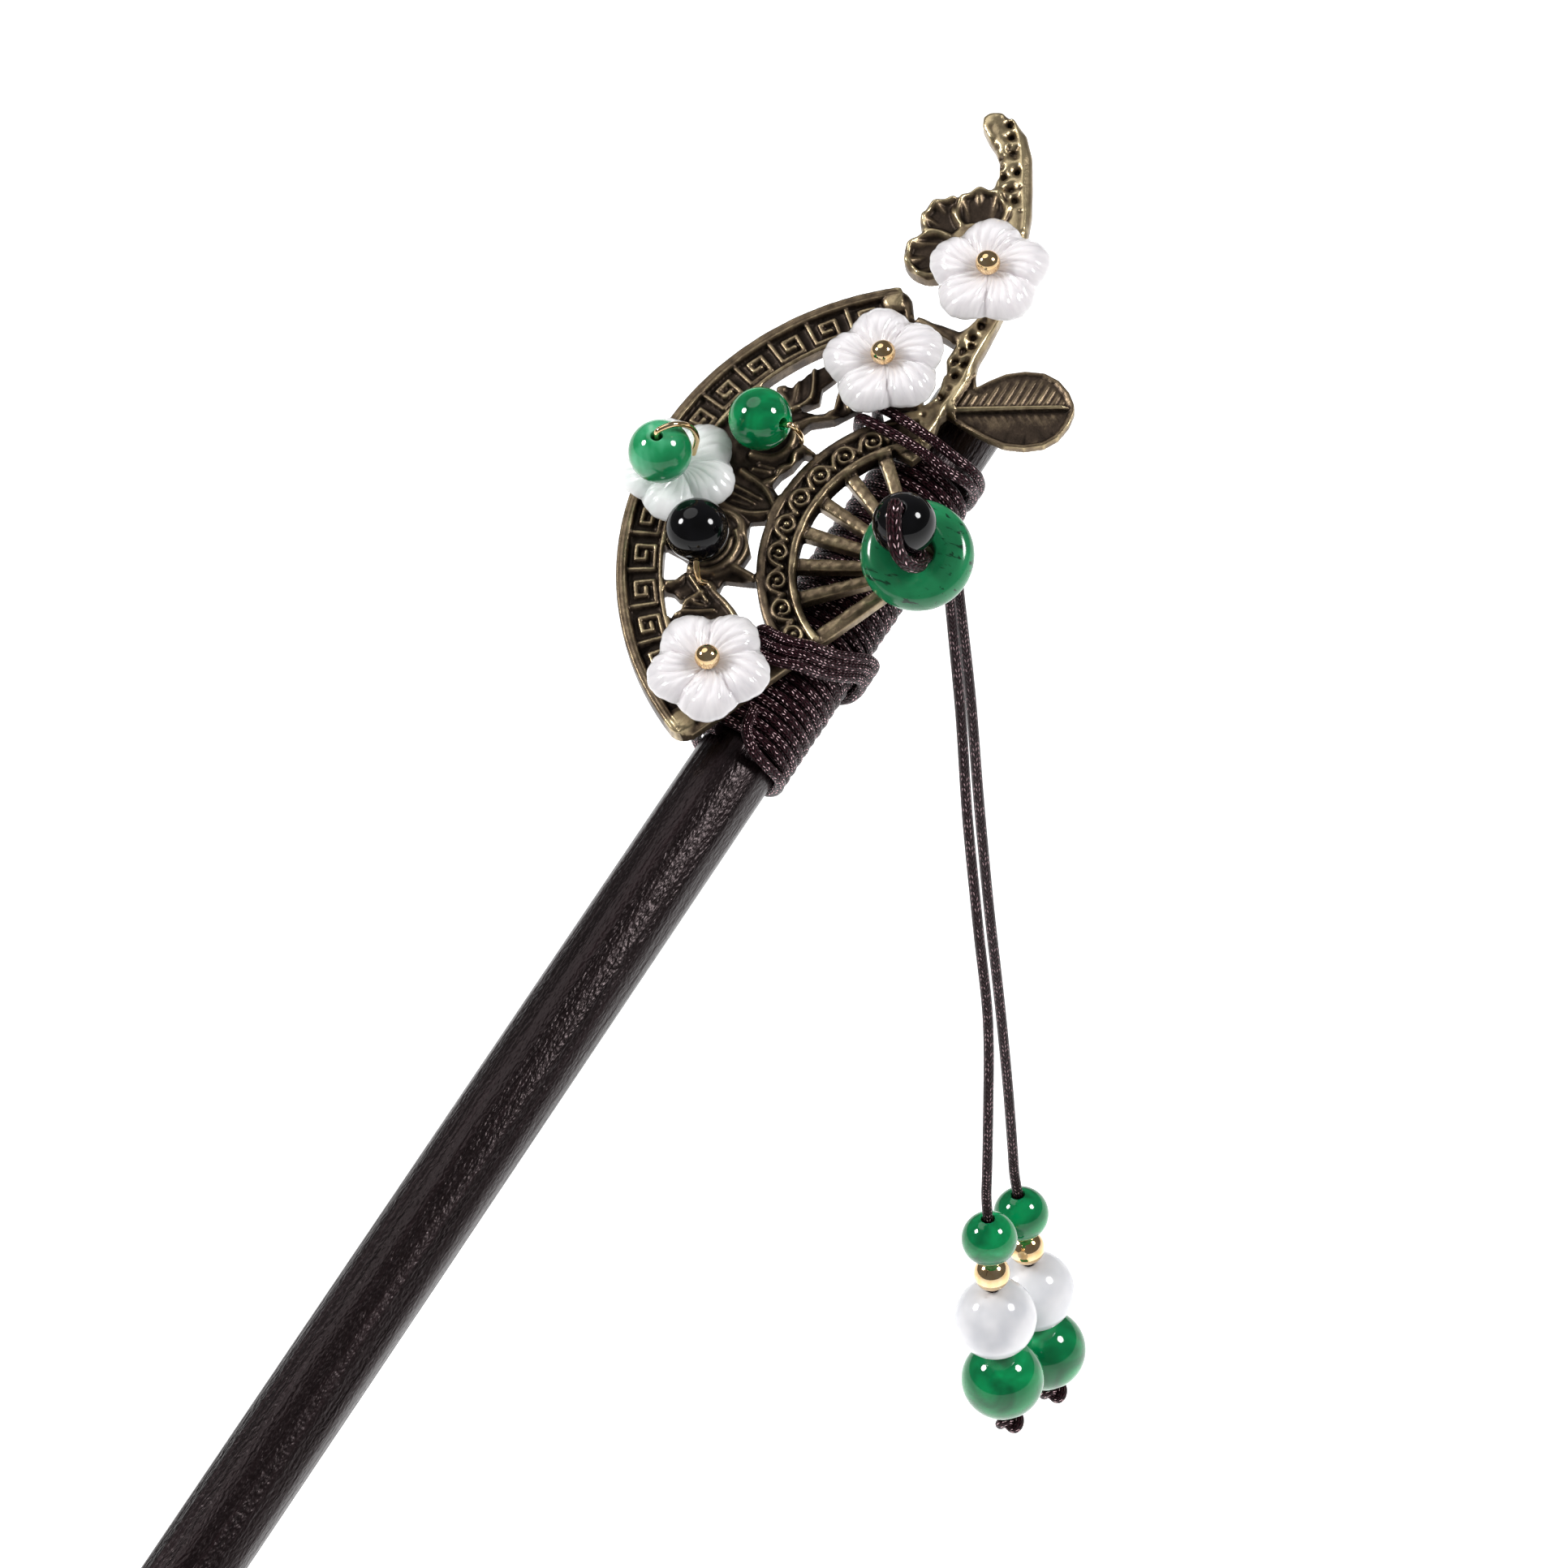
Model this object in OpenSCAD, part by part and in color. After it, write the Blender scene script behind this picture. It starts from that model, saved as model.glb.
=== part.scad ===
// Hair stick: a round wooden stick with a pierced fan-and-branch casting lashed to it,
// shell and jade flowers, a toggle bead on a drilled disc, and two beaded cords that hang.
// Lengths are millimetres. The origin is on the stick's axis where the hair grips it.

/* [Pose] */
// Rise of the stick towards its head, in degrees
lift_angle = 19; // [5:1:32]
// Turn of the fan's face about the stick's axis, in degrees
roll_angle = 11; // [0:1:22]

/* [Stick] */
// Whole length of the stick
stick_len = 175; // [150:1:200]
// Diameter of the stick's shank
stick_d = 5.5; // [5.1:0.1:5.8]
// Diameter near the point
tip_d = 2.8; // [2.2:0.1:3.6]
// Length of the tapered end
taper_len = 62; // [40:1:70]
// Distance from the head of the stick to the place where the hair grips it
grip_from_head = 86.8; // [80:0.2:95]

/* [Cord] */
// Diameter of the braided cord
cord_d = 0.75; // [0.6:0.05:0.8]
// Number of turns wound side by side on the stick
wind_turns = 29; // [25:1:29]
// Distance between neighbouring turns
wind_pitch = 0.8; // [0.78:0.01:0.84]
// Diameter of the thicker cord that holds the drilled disc
toggle_d = 1; // [0.8:0.05:1]

/* [Fan casting] */
// Radius of the fan's outer rim
fan_r = 21; // [20.2:0.1:21.6]
// Thickness of the pierced plate
plate_t = 0.85; // [0.7:0.05:1]
// Height of the rims above the pierced plate
rim_h = 0.5; // [0.35:0.05:0.55]
// Number of key-pattern units along the outer band
key_count = 14; // [12:1:17]
// Number of curls along the inner band
curl_count = 9; // [8:1:12]
// Width of a rib of the small fan
rib_w = 0.85; // [0.5:0.05:0.9]
// Width of the guard bars at both ends of the fan
guard_w = 0.9; // [0.8:0.05:1.1]
// Length of the leaf
leaf_len = 8.6; // [7.8:0.1:9]
// Radius of one lobe of the cast blossom
lobe_r = 1.9; // [1.6:0.1:2.1]

/* [Flowers and beads] */
// Diameter of a shell flower across its petals
flower_d = 8.3; // [7.4:0.1:8.6]
// Diameter of the small green beads and the two black beads
small_bead_d = 4.2; // [3.8:0.1:4.3]
// Diameter of a gold ball
ball_d = 1.66; // [1.3:0.02:1.8]
// Diameter of the drilled disc
disc_d = 7.45; // [7:0.05:7.8]
// Thickness of the drilled disc
disc_t = 2.4; // [2:0.1:2.5]
// Diameter of the large beads on the cords
large_bead_d = 6; // [5.4:0.1:6.1]
// Diameter of the small green bead on each cord
strand_bead_d = 4; // [3.6:0.1:4.1]
// Diameter of the gold bead on each cord
strand_gold_d = 2.6; // [2.2:0.1:2.7]
// Drop of the front cord from the stick to the middle of its white bead
front_drop = 68.7; // [60:0.1:76]
// How much lower the back cord's white bead hangs than the front one's
back_lower = 3.6; // [2.5:0.1:6]

/* [Hidden] */
$fn = 48;
eps = 0.05;
gap = 0.1;
cord_r = cord_d/2;
stick_r = stick_d/2;
bead_r = small_bead_d/2;
// The stick's head stands this far past the leaf's root
head_out = 0.8;
// Windings: their inner and outer radius
wind_in = stick_r + eps;
wind_out = wind_in + cord_d;
// Heights of the casting above the stick's axis
plate_z = wind_out + gap;
floor_z = plate_z + plate_t;
rim_z = floor_z + rim_h;
line_z = floor_z + rim_h*0.55;
// Middle of the fan's arcs. The line where the lashings cross the casting keeps its place.
fan_c = [-12.5, 2.2 - fan_r*0.3571];
// A place on the casting: shares of the fan's radius, from the fan's middle
function on_fan(sx, sy) = [fan_c.x + fan_r*sx, fan_c.y + fan_r*sy];
// Middle of the small fan's ribs, and of the inner band
hub_c = on_fan(-.043, .029);
curl_c = on_fan(-.024, -.014);
// Where the lashings cross the casting, beside the leaf and at the lower guard
head_lash = on_fan(.369, 0).x;
tail_lash = on_fan(-.5643, 0).x;
// Middle of the lower guard's width, at a place along the stick
function guard_y(x) = fan_c.y + (fan_c.x - x)*tan(179 - fan_a1);
// Windings: the end nearest the head, and their length
wind_head = head_lash - 1;
wind_len = wind_turns*wind_pitch;
rim_w = fan_r*0.045;
key_in = fan_r*0.853;
key_low = fan_r*0.871;
key_top = fan_r*0.962;
curl_out = fan_r*0.56;
curl_in = fan_r*0.435;
// Ends of the fan and of the inner band, in degrees from the stick's direction
fan_a0 = 38;
fan_a1 = 156;
curl_a0 = fan_a0 + 11;
curl_a1 = fan_a1 - 3.5;
// Seats of the flowers
seat_z = rim_z + cord_d + gap;
// Colours as they look in daylight
wood = "#2b2426";
bronze = "#5f5232";
braid = "#3c242b";
green = "#0f8440";
disc_green = "#1e7448";
black = "#141416";
shell = "#e8e4e6";
gold = "#d8a848";
pale = "#dfe7e4";
milk = "#e2e5e8";

// Rotation of the ornament's own frame into the world, as a function and as a module
function to_world(p) =
  let (q = [p.x + grip_from_head - head_out, p.y, p.z],
       y1 = q.y*cos(roll_angle) - q.z*sin(roll_angle),
       z1 = q.y*sin(roll_angle) + q.z*cos(roll_angle))
  [q.x*cos(lift_angle) - z1*sin(lift_angle), y1, q.x*sin(lift_angle) + z1*cos(lift_angle)];
module place() {
  rotate([0, -lift_angle, 0]) rotate([roll_angle, 0, 0])
    translate([grip_from_head - head_out, 0, 0]) children();
}

// Vector helpers
function unit(v) = v/norm(v);
// Smooth curve through the points, n steps to a span
function spline(p, n) = [
  for (i = [0:len(p) - 2]) for (j = [0:n - 1])
    let (t = j/n, a = p[max(i - 1, 0)], b = p[i], c = p[i + 1],
         d = p[min(i + 2, len(p) - 1)])
    0.5*(2*b + (c - a)*t + (2*a - 5*b + 4*c - d)*t*t + (3*b - a - 3*c + d)*t*t*t),
  p[len(p) - 1]];
function tangent(p, i) = unit(p[min(i + 1, len(p) - 1)] - p[max(i - 1, 0)]);
// Normal carried along the path without twist
function carry(p, i, m) =
  let (t = tangent(p, i), v = unit(m - (m*t)*t))
  i == len(p) - 1 ? [v] : concat([v], carry(p, i + 1, v));
function side_vector(t) = unit(cross(t, abs(t.z) < 0.8 ? [0, 0, 1] : [1, 0, 0]));
// Round tube of n sides along a path
module tube(p, r, n = 8) {
  m = carry(p, 0, side_vector(tangent(p, 0)));
  pts = [for (i = [0:len(p) - 1]) let (b = cross(tangent(p, i), m[i]))
    for (k = [0:n - 1]) p[i] + r*(cos(360*k/n)*m[i] + sin(360*k/n)*b)];
  last = (len(p) - 1)*n;
  faces = concat(
    [[for (k = [0:n - 1]) k]],
    [for (i = [0:len(p) - 2]) for (k = [0:n - 1])
      [i*n + k, (i + 1)*n + k, (i + 1)*n + (k + 1)%n]],
    [for (i = [0:len(p) - 2]) for (k = [0:n - 1])
      [i*n + k, (i + 1)*n + (k + 1)%n, i*n + (k + 1)%n]],
    [[for (k = [n - 1:-1:0]) last + k]]);
  polyhedron(pts, faces, convexity = 10);
}
// Turns the +Z axis to point along a vector
module aim(v) {
  rotate([0, acos(v.z/norm(v)), atan2(v.y, v.x)]) children();
}
module drilled_ball(r, hole_r) {
  difference() {
    sphere(r);
    cylinder(r = hole_r, h = 3*r, center = true);
  }
}

// Wooden stick: straight shank, long taper, rounded point and head
module stick() {
  shank = stick_len - taper_len;
  tip_r = tip_d/2;
  color(wood) place() translate([head_out, 0, 0]) rotate([0, -90, 0]) rotate_extrude()
    polygon([[0, 0], [stick_r - 0.5, 0], [stick_r - 0.15, 0.15], [stick_r, 0.5],
      [stick_r, shank], [stick_r*0.93, shank + taper_len*0.3],
      [stick_r*0.8, shank + taper_len*0.6], [tip_r, stick_len - tip_r*1.6],
      [tip_r*0.8, stick_len - tip_r*0.7], [tip_r*0.4, stick_len - tip_r*0.15],
      [0, stick_len]]);
}

// Turns of cord wound side by side, as one sleeve with a groove between the turns
module cord_windings() {
  groove = wind_out - cord_d*0.3;
  color(braid) place() translate([wind_head, 0, 0]) rotate([0, -90, 0]) rotate_extrude()
    polygon(concat(
      [[wind_in, 0], [groove, 0]],
      [for (i = [0:wind_turns - 1]) each [
        [wind_out, (i + 0.3)*wind_pitch], [wind_out, (i + 0.7)*wind_pitch],
        [groove, (i + 1)*wind_pitch]]],
      [[wind_in, wind_len]]));
}

// Sector of a ring, in the plane
module ring_sector(r_in, r_out, a0, a1) {
  far = 3*r_out;
  mid = (a0 + a1)/2;
  difference() {
    circle(r_out);
    circle(r_in);
    polygon([[0, 0], far*[cos(a0), sin(a0)], far*[cos(mid - 180), sin(mid - 180)],
      far*[cos(a1), sin(a1)]]);
  }
}
// Straight bar between two places, in the plane
module bar(a, b, wa, wb) {
  u = unit(b - a);
  s = [-u.y, u.x];
  polygon([a + s*wa/2, a - s*wa/2, b - s*wb/2, b + s*wb/2]);
}
// Openings of the pierced middle of the fan: shares of the fan's radius, from its middle
open_1 = [[.157, .581], [.19, .614], [.233, .6], [.28, .54], [.35, .5], [.4, .47], [.41, .42],
  [.37, .38], [.31, .42], [.2, .48], [.14, .5]];
open_2 = [[.262, .662], [.276, .605], [.31, .56], [.352, .576], [.429, .595], [.47, .624],
  [.419, .619], [.367, .638], [.319, .619]];
open_3 = [[.276, .79], [.276, .752], [.295, .762], [.319, .743], [.324, .719], [.39, .705],
  [.443, .671], [.471, .667], [.5, .69], [.52, .72], [.4, .81], [.28, .86]];
open_4 = [[-.36, .8], [-.362, .72], [-.367, .681], [-.41, .662], [-.452, .676],
  [-.467, .714], [-.48, .76]];
open_5 = [[-.52, .75], [-.5, .695], [-.49, .662], [-.5, .633], [-.49, .619], [-.533, .605],
  [-.552, .614], [-.62, .65]];
open_6 = [[-.424, .543], [-.376, .548], [-.348, .476], [-.333, .44], [-.44, .34],
  [-.47, .31], [-.59, .31], [-.59, .4], [-.476, .41], [-.452, .457], [-.433, .505]];
open_7 = [[-.314, .524], [-.252, .524], [-.21, .562], [-.157, .586], [-.124, .533],
  [-.13, .49], [-.22, .48], [-.3, .43], [-.315, .467]];
open_8 = [[-.014, .59], [.029, .586], [.071, .567], [.129, .562], [.133, .524],
  [.13, .48], [.04, .5], [-.04, .5], [-.043, .538]];
// Twig outline: shares of the fan's radius, from the fan's middle
twig = [[.27, .25], [.28, .45], [.31, .42], [.37, .38], [.44, .335], [.48, .305], [.55, .31],
  [.6, .32], [.64, .345], [.7, .345], [.705, .42], [.7, .5], [.73, .5], [.745, .42],
  [.75, .36], [.78, .345], [.82, .335], [.86, .33], [1.0, .4], [1.24, .54], [1.3, .54],
  [1.36, .575], [1.39, .61], [1.41, .645], [1.44, .685], [1.47, .7], [1.5, .69],
  [1.515, .65], [1.51, .605], [1.48, .545], [1.42, .49], [1.32, .43], [1.23, .38],
  [1.0, .29], [.84, .267], [.75, .257], [.68, .252], [.64, .238], [.6, .21], [.54, .225],
  [.44, .25], [.37, .235], [.3, .24]];
// Pits of the twig's bark: shares of the fan's radius, from the fan's middle
pits = [[.51, .29], [.6, .29], [.645, .315], [.65, .285], [.695, .315], [.72, .3],
  [.75, .31], [.8, .31], [1.25, .455], [1.28, .485], [1.31, .53], [1.345, .5],
  [1.365, .58], [1.4, .55], [1.45, .585], [1.49, .61]];

module bands_outline() {
  translate(fan_c) {
    ring_sector(key_in, fan_r, fan_a0, fan_a1);
    for (a = [fan_a0 + 0.6, fan_a1 - 0.6])
      rotate(a) translate([fan_r - rim_w*1.15, 0]) circle(rim_w*1.14);
    // Guards at both ends of the fan
    bar((curl_out - 1)*[cos(fan_a0 - 1), sin(fan_a0 - 1)],
      (fan_r - rim_w)*[cos(fan_a0 - .5), sin(fan_a0 - .5)], guard_w, guard_w*1.65);
    bar(fan_r*.15*[cos(curl_a1), sin(curl_a1)],
      (fan_r - rim_w)*[cos(fan_a1 + 1), sin(fan_a1 + 1)], guard_w, guard_w*1.35);
  }
  translate(curl_c) ring_sector(curl_in, curl_out, curl_a0, curl_a1);
}
module web_outline() {
  difference() {
    translate(fan_c) ring_sector(curl_out - 0.6, key_in + 0.5, fan_a0, fan_a1);
    for (o = [open_1, open_2, open_3, open_4, open_5, open_6, open_7, open_8])
      translate(fan_c) polygon(fan_r*o);
  }
}
module ribs_outline() {
  translate(hub_c) {
    for (i = [0:5]) {
      a = fan_a0 + 8.5 + i*(fan_a1 - fan_a0 - 30)/5;
      bar(toggle_d*1.5*[cos(a), sin(a)], (curl_in + 0.5)*[cos(a), sin(a)], rib_w*0.8, rib_w*1.15);
    }
    circle(toggle_d*2);
  }
}
module leaf_outline() {
  side = [[0, 0.02], [.14, .13], [.25, .205], [.35, .265], [.47, .32], [.62, .34],
    [.77, .32], [.88, .25], [.96, .14], [1, .03]];
  polygon(leaf_len*concat(side, [for (i = [len(side) - 1:-1:0]) [side[i].x, -side[i].y]]));
}
module at_leaf() translate(on_fan(.478, .257)) rotate(-60.5) children();
module at_blossom() translate(on_fan(1.038, .471)) children();
// Angle, distance in lobe radii and turn of each curled lobe of the cast blossom
lobes = [[71, 1.5], [129, 1.57], [23, 1.48]];

// One key-pattern unit: a square spiral line in a cell of width w and height h
module key_unit(w, h) {
  t = h*0.15;
  polygon([[0, h], [0, 0], [w*0.82, 0], [w*0.82, h*0.78], [w*0.3, h*0.78], [w*0.3, h*0.32],
    [w*0.56, h*0.32], [w*0.56, h*0.32 + t], [w*0.3 + t, h*0.32 + t],
    [w*0.3 + t, h*0.78 - t], [w*0.82 - t, h*0.78 - t], [w*0.82 - t, t], [t, t], [t, h]]);
}
// Direction of a curl's middle
function curl_angle(i) = curl_a0 + 5.5 + i*(curl_a1 - curl_a0 - 9.5)/(curl_count - 1);
// One curl: an open ring with a tail that runs to the next curl
module curl_line(r) {
  difference() {
    circle(r, $fn = 12);
    circle(r*0.7, $fn = 12);
    translate([-2*r, -0.15*r]) square([2*r, 1.1*r]);
  }
  translate([-1.55*r, 0.72*r]) rotate(-10) square([1.75*r, 0.3*r]);
}

// The cast fan, twig, leaf and blossom: one piece of bronze, cut through and with relief
module fan_casting() {
  key_h = key_top - key_low;
  key_w = PI*(key_in + 1)*(fan_a1 - fan_a0 - 5)/180/key_count;
  curl_r = (curl_out - curl_in)*0.25;
  color(bronze) place() difference() {
    union() {
      translate([0, 0, plate_z]) linear_extrude(plate_t) {
        bands_outline();
        web_outline();
        ribs_outline();
        translate(fan_c) polygon(fan_r*twig);
      }
      // Rims of both bands
      translate([0, 0, floor_z - eps]) linear_extrude(rim_z - floor_z + eps) {
        translate(fan_c) {
          ring_sector(key_top, fan_r - 0.1, fan_a0, fan_a1);
          ring_sector(key_in, key_low, fan_a0 + 2, fan_a1 - 2);
        }
        translate(curl_c) {
          ring_sector(curl_out - 0.4, curl_out, curl_a0 + 1, curl_a1 - 1);
          ring_sector(curl_in, curl_in + 0.42, curl_a0 + 4, curl_a1 - 3.5);
        }
      }
      // Key pattern and curls
      translate([0, 0, floor_z - eps]) linear_extrude(line_z - floor_z + eps) {
        translate(fan_c) for (i = [0:key_count - 1])
          rotate(fan_a0 + 2.5 + (i + 0.5)*(fan_a1 - fan_a0 - 5)/key_count - 90)
            translate([-key_w/2, key_low - eps]) key_unit(key_w*0.93, key_h + 2*eps);
        translate(curl_c) for (i = [0:curl_count - 1])
          rotate(curl_angle(i) - 90)
            translate([0, (curl_in + curl_out)/2]) curl_line(curl_r);
      }
      // Domes in the curls
      translate([curl_c.x, curl_c.y, floor_z - eps]) for (i = [0:curl_count - 1])
        rotate(curl_angle(i))
          translate([(curl_in + curl_out)/2, 0, 0]) cylinder(r1 = 0.34, r2 = 0.2, h = rim_h*0.9, $fn = 13);
      // Petals cast on the pierced middle
      translate([fan_c.x, fan_c.y, floor_z - eps]) {
        for (p = [[-.08, .6, .062], [.035, .645, .062], [-.18, .635, .06], [-.27, .575, .045],
                  [-.43, .6, .04], [.35, .675, .03]])
          translate([fan_r*p.x, fan_r*p.y, 0])
            cylinder(r1 = fan_r*p.z, r2 = fan_r*p.z*0.55, h = rim_h*0.8, $fn = 13);
      }
      // Leaf: blade, rim, midrib and veins
      translate([0, 0, plate_z + 0.02]) linear_extrude(plate_t - 0.25) at_leaf() leaf_outline();
      translate([0, 0, floor_z - 0.35]) linear_extrude(0.5) at_leaf() difference() {
        leaf_outline();
        translate([leaf_len*0.04, 0]) scale(0.91) leaf_outline();
      }
      translate([0, 0, floor_z - 0.35]) linear_extrude(0.6) at_leaf()
        bar([0, 0], [leaf_len*0.95, 0], 0.45, 0.25);
      translate([0, 0, floor_z - 0.35]) linear_extrude(0.3) at_leaf() intersection() {
        leaf_outline();
        for (i = [1:9]) for (m = [0, 1]) mirror([0, m])
          bar(leaf_len*[0.085*i, 0], leaf_len*[0.085*i + 0.19, 0.36], 0.22, 0.26);
      }
      // Smooth ridge along the twig's lower edge
      translate([fan_c.x, fan_c.y, floor_z - eps]) linear_extrude(rim_h*0.6) {
        bar(fan_r*[.5, .255], fan_r*[.84, .283], 0.4, 0.45);
        bar(fan_r*[1.22, .395], fan_r*[1.44, .525], 0.45, 0.3);
      }
      // Cast blossom behind the top flower: seat and three curled lobes
      translate([0, 0, plate_z + 0.02]) linear_extrude(plate_t) at_blossom() {
        circle(2.4);
        for (l = lobes) rotate(l[0]) translate([l[1]*lobe_r, 0]) circle(lobe_r);
      }
      translate([0, 0, floor_z - eps]) at_blossom() for (l = lobes)
        rotate(l[0]) translate([l[1]*lobe_r, 0]) rotate(-75) rotate_extrude(angle = 150)
          polygon([[lobe_r - 0.5, 0], [lobe_r - 0.08, 0], [lobe_r - 0.15, rim_h*1.3],
            [lobe_r - 0.4, rim_h*1.3]]);
    }
    // Hole of the small fan's hub, for the toggle cord
    translate([hub_c.x, hub_c.y, plate_z - 1]) cylinder(r = toggle_d + 0.15, h = 4);
    // Pits of the bark
    for (p = pits) translate([fan_c.x + fan_r*p.x, fan_c.y + fan_r*p.y, floor_z - 0.25])
      cylinder(r = 0.23, h = 2, $fn = 7);
  }
}

// Two strands that cross the casting beside the leaf and close around the bare stick
module upper_lashing() {
  r = wind_in + cord_r + 2*eps;
  top = rim_z + cord_r + eps;
  // Columns: place along the stick behind it, at the fan side and at the casting's lower edge,
  // and how far out on the fan side the strand goes through
  h = head_lash;
  color(braid) place() for (s = [[h + .4, h, h - .35, on_fan(0, .4358).y],
                                 [h - .4, h - 1.3, h - 1.5, on_fan(0, .4667).y]])
    tube(spline([[s[0], 0, -r], [s[0], r*.71, -r*.71], [s[0], r, -.1],
      [(s[0] + s[1])/2 - .1, 3.95, 1.3], [s[1], s[3], 3.2], [s[1], s[3], floor_z],
      [s[1], s[3] - .48, top + .03], [s[1]*.75 + s[2]*.25, 1.7, top], [s[2], 0, top],
      [s[2] - .05, -1, top - .3], [s[2] + .1, -2.1, 4.1], [s[0]*.6 + s[2]*.4, -3.3, 2.5],
      [s[0] - .05, -3.5, 1], [s[0], -r, -.5], [s[0], -r*.71, -r*.71], [s[0], -.1, -r]], 2), cord_r);
}
// Three strands that cross the casting's lower guard and slant over the windings
module lower_lashing() {
  r = wind_out + cord_r + 4*eps;
  top = rim_z + cord_r + eps;
  // Where the strands go down: through the opening above the guard, and below the guard
  u = on_fan(0, .31).y;
  v = guard_y(tail_lash);
  color(braid) place() for (i = [0:2]) {
    x0 = tail_lash + 3.45 + 1.05*i;
    x1 = tail_lash + 0.82*i;
    tube(spline([[x0 - 1.2, 0, -r], [x0 - 2.2, r*.71, -r*.71], [x0 - 2.9, r, 0],
      [x1 + .1, 3.5, 2.15], [x1, u + 1.54, 3.15], [x1, u + .99, floor_z - .2],
      [x1, u + .39, top - .05], [x1, u - .61, top], [x1 + .1, v - .33, top],
      [x1 + .6, v - 1.45, 5.02], [x1 + 1.4, -2.75, 3.6],
      [x1 + 2.4, -3.6, 2.3], [x0 - .3, -r, .8], [x0, -r, -.8],
      [x0 - .45, -r*.71, -r*.71], [x0 - 1.15, -.1, -r]], 2), cord_r);
  }
}
// Last, slack turn of the windings: it slips off their end and closes around the stick
module closing_turn() {
  r = wind_in + cord_r + 2*eps;
  x = wind_head - wind_len - cord_r - 2*eps;
  color(braid) place() tube(spline([[x + 2, guard_y(x + 2) - 1.48, 4],
    [x + 1.3, guard_y(x + 1.3) - 1.87, 4.05], [x + .4, guard_y(x + .4) - 2.5, 4],
    [x - .3, -1.7, 3.3], [x - .4, -2.7, 2], [x - .15, -r, .2], [x - .05, -r*.71, -r*.71],
    [x, 0, -r], [x, r*.71, -r*.71], [x, r, 0], [x, r*.75, r*.66], [x, r*.35, r*.94]], 2), cord_r);
}

// Drilled disc that leans towards the stick's lower side
disc_c = [hub_c.x - .3, hub_c.y - .1, rim_z + 1.6];
module at_disc() translate(disc_c) rotate([0, 0, 221]) rotate([0, 15, 0]) children();
module green_disc() {
  r = disc_d/2;
  h = disc_t/2;
  hole = toggle_d + gap;
  color(disc_green) place() at_disc() rotate_extrude()
    polygon([[hole, -h*.8], [hole + .2, -h], [r*.72, -h], [r*.9, -h*.7], [r*.985, -h*.3], [r, 0],
      [r*.985, h*.3], [r*.9, h*.7], [r*.72, h], [hole + .2, h], [hole, h*.8]]);
}
disc_bead_c = [disc_c.x - .07, disc_c.y + .61, disc_c.z + 1.6 + bead_r];
disc_bead_axis = unit([-.1, .15, 1]);
module disc_bead() {
  color(black) place() translate(disc_bead_c) aim(disc_bead_axis)
    drilled_ball(bead_r, toggle_d/2 + gap);
}
// Cord from a knot behind the hub up through the disc and the bead, and back over the bead
module toggle_cord() {
  c = disc_bead_c;
  k = bead_r/2.1;
  a = disc_bead_axis*bead_r;
  h = [hub_c.x, hub_c.y, 0];
  up = [.25, .5, 0];
  color(braid) place() {
    tube(spline([
      h + up + [0, 0, plate_z - .6], h + up + [0, 0, floor_z],
      h + up + [-.05, .1, disc_c.z - 1.2], h + [-.26, .2, disc_c.z + 1.2],
      c - a*.98, c - a*.3, c + a*.5, c + a*1.05,
      c + k*[-.45, .15, 2.85], c + k*[-1.1, -.1, 2.65], c + k*[-1.8, -.5, 2.05],
      c + k*[-2.35, -.95, 1.1], c + k*[-2.4, -1.4, .05], c + k*[-2, -1.75, -.9],
      c + k*[-1.3, -1.8, -1.75], [disc_c.x - .49, disc_c.y - .71, disc_c.z + 1.2],
      h - up + [-.05, .1, disc_c.z - 1.2], h - up + [0, 0, floor_z], h - up + [0, 0, plate_z - .6]],
      2), toggle_d/2);
    translate([hub_c.x, hub_c.y, plate_z - gap - toggle_d]) sphere(toggle_d);
  }
}

// Carved flower of five petals, drilled, with grooves from its middle to its edge
module carved_flower(d, turn, t) {
  n = 40;
  hole = 0.34;
  rings = [.09, .3, .58, .84, 1];
  tops = [.62, .78, 1, .85, .5];
  function edge(a) = d/2*(.84 + .16*pow(abs(cos(2.5*(a - turn))), 0.9));
  function groove(a, s) = .07*t*s*cos(20*(a - turn));
  under = [for (k = [0:n - 1]) let (a = 360*k/n) each [
    for (i = [0:4]) let (r = i == 0 ? hole : edge(a)*rings[i]) [r*cos(a), r*sin(a),
      i < 3 ? 0 : (i == 3 ? .08*t : .3*t)]]];
  upper = [for (k = [0:n - 1]) let (a = 360*k/n) each [
    for (i = [4:-1:0]) let (r = i == 0 ? hole : edge(a)*rings[i]) [r*cos(a), r*sin(a),
      t*tops[i] + (i == 0 ? 0 : groove(a, rings[i]))]]];
  m = 10;
  pts = [for (k = [0:n - 1]) each concat([for (i = [0:4]) under[k*5 + i]],
    [for (i = [0:4]) upper[k*5 + i]])];
  faces = [for (k = [0:n - 1]) for (i = [0:m - 1])
    let (a = k*m + i, b = k*m + (i + 1)%m, c = ((k + 1)%n)*m + (i + 1)%m, e = ((k + 1)%n)*m + i)
    each [[a, c, e], [a, b, c]]];
  polyhedron(pts, faces, convexity = 6);
}
function seat(p, z) = [p.x, p.y, z];
top_c = seat(on_fan(.938, .357), seat_z);
middle_c = seat(on_fan(.498, .479), seat_z);
lower_c = seat(on_fan(-.695, .393), seat_z);
flower_t = 1.5;
module top_shell_flower() color(shell) place() translate(top_c) carved_flower(flower_d, 26, flower_t);
module middle_shell_flower() color(shell) place() translate(middle_c) carved_flower(flower_d, 37, flower_t);
module lower_shell_flower() color(shell) place() translate(lower_c) carved_flower(flower_d, 65, flower_t);
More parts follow.
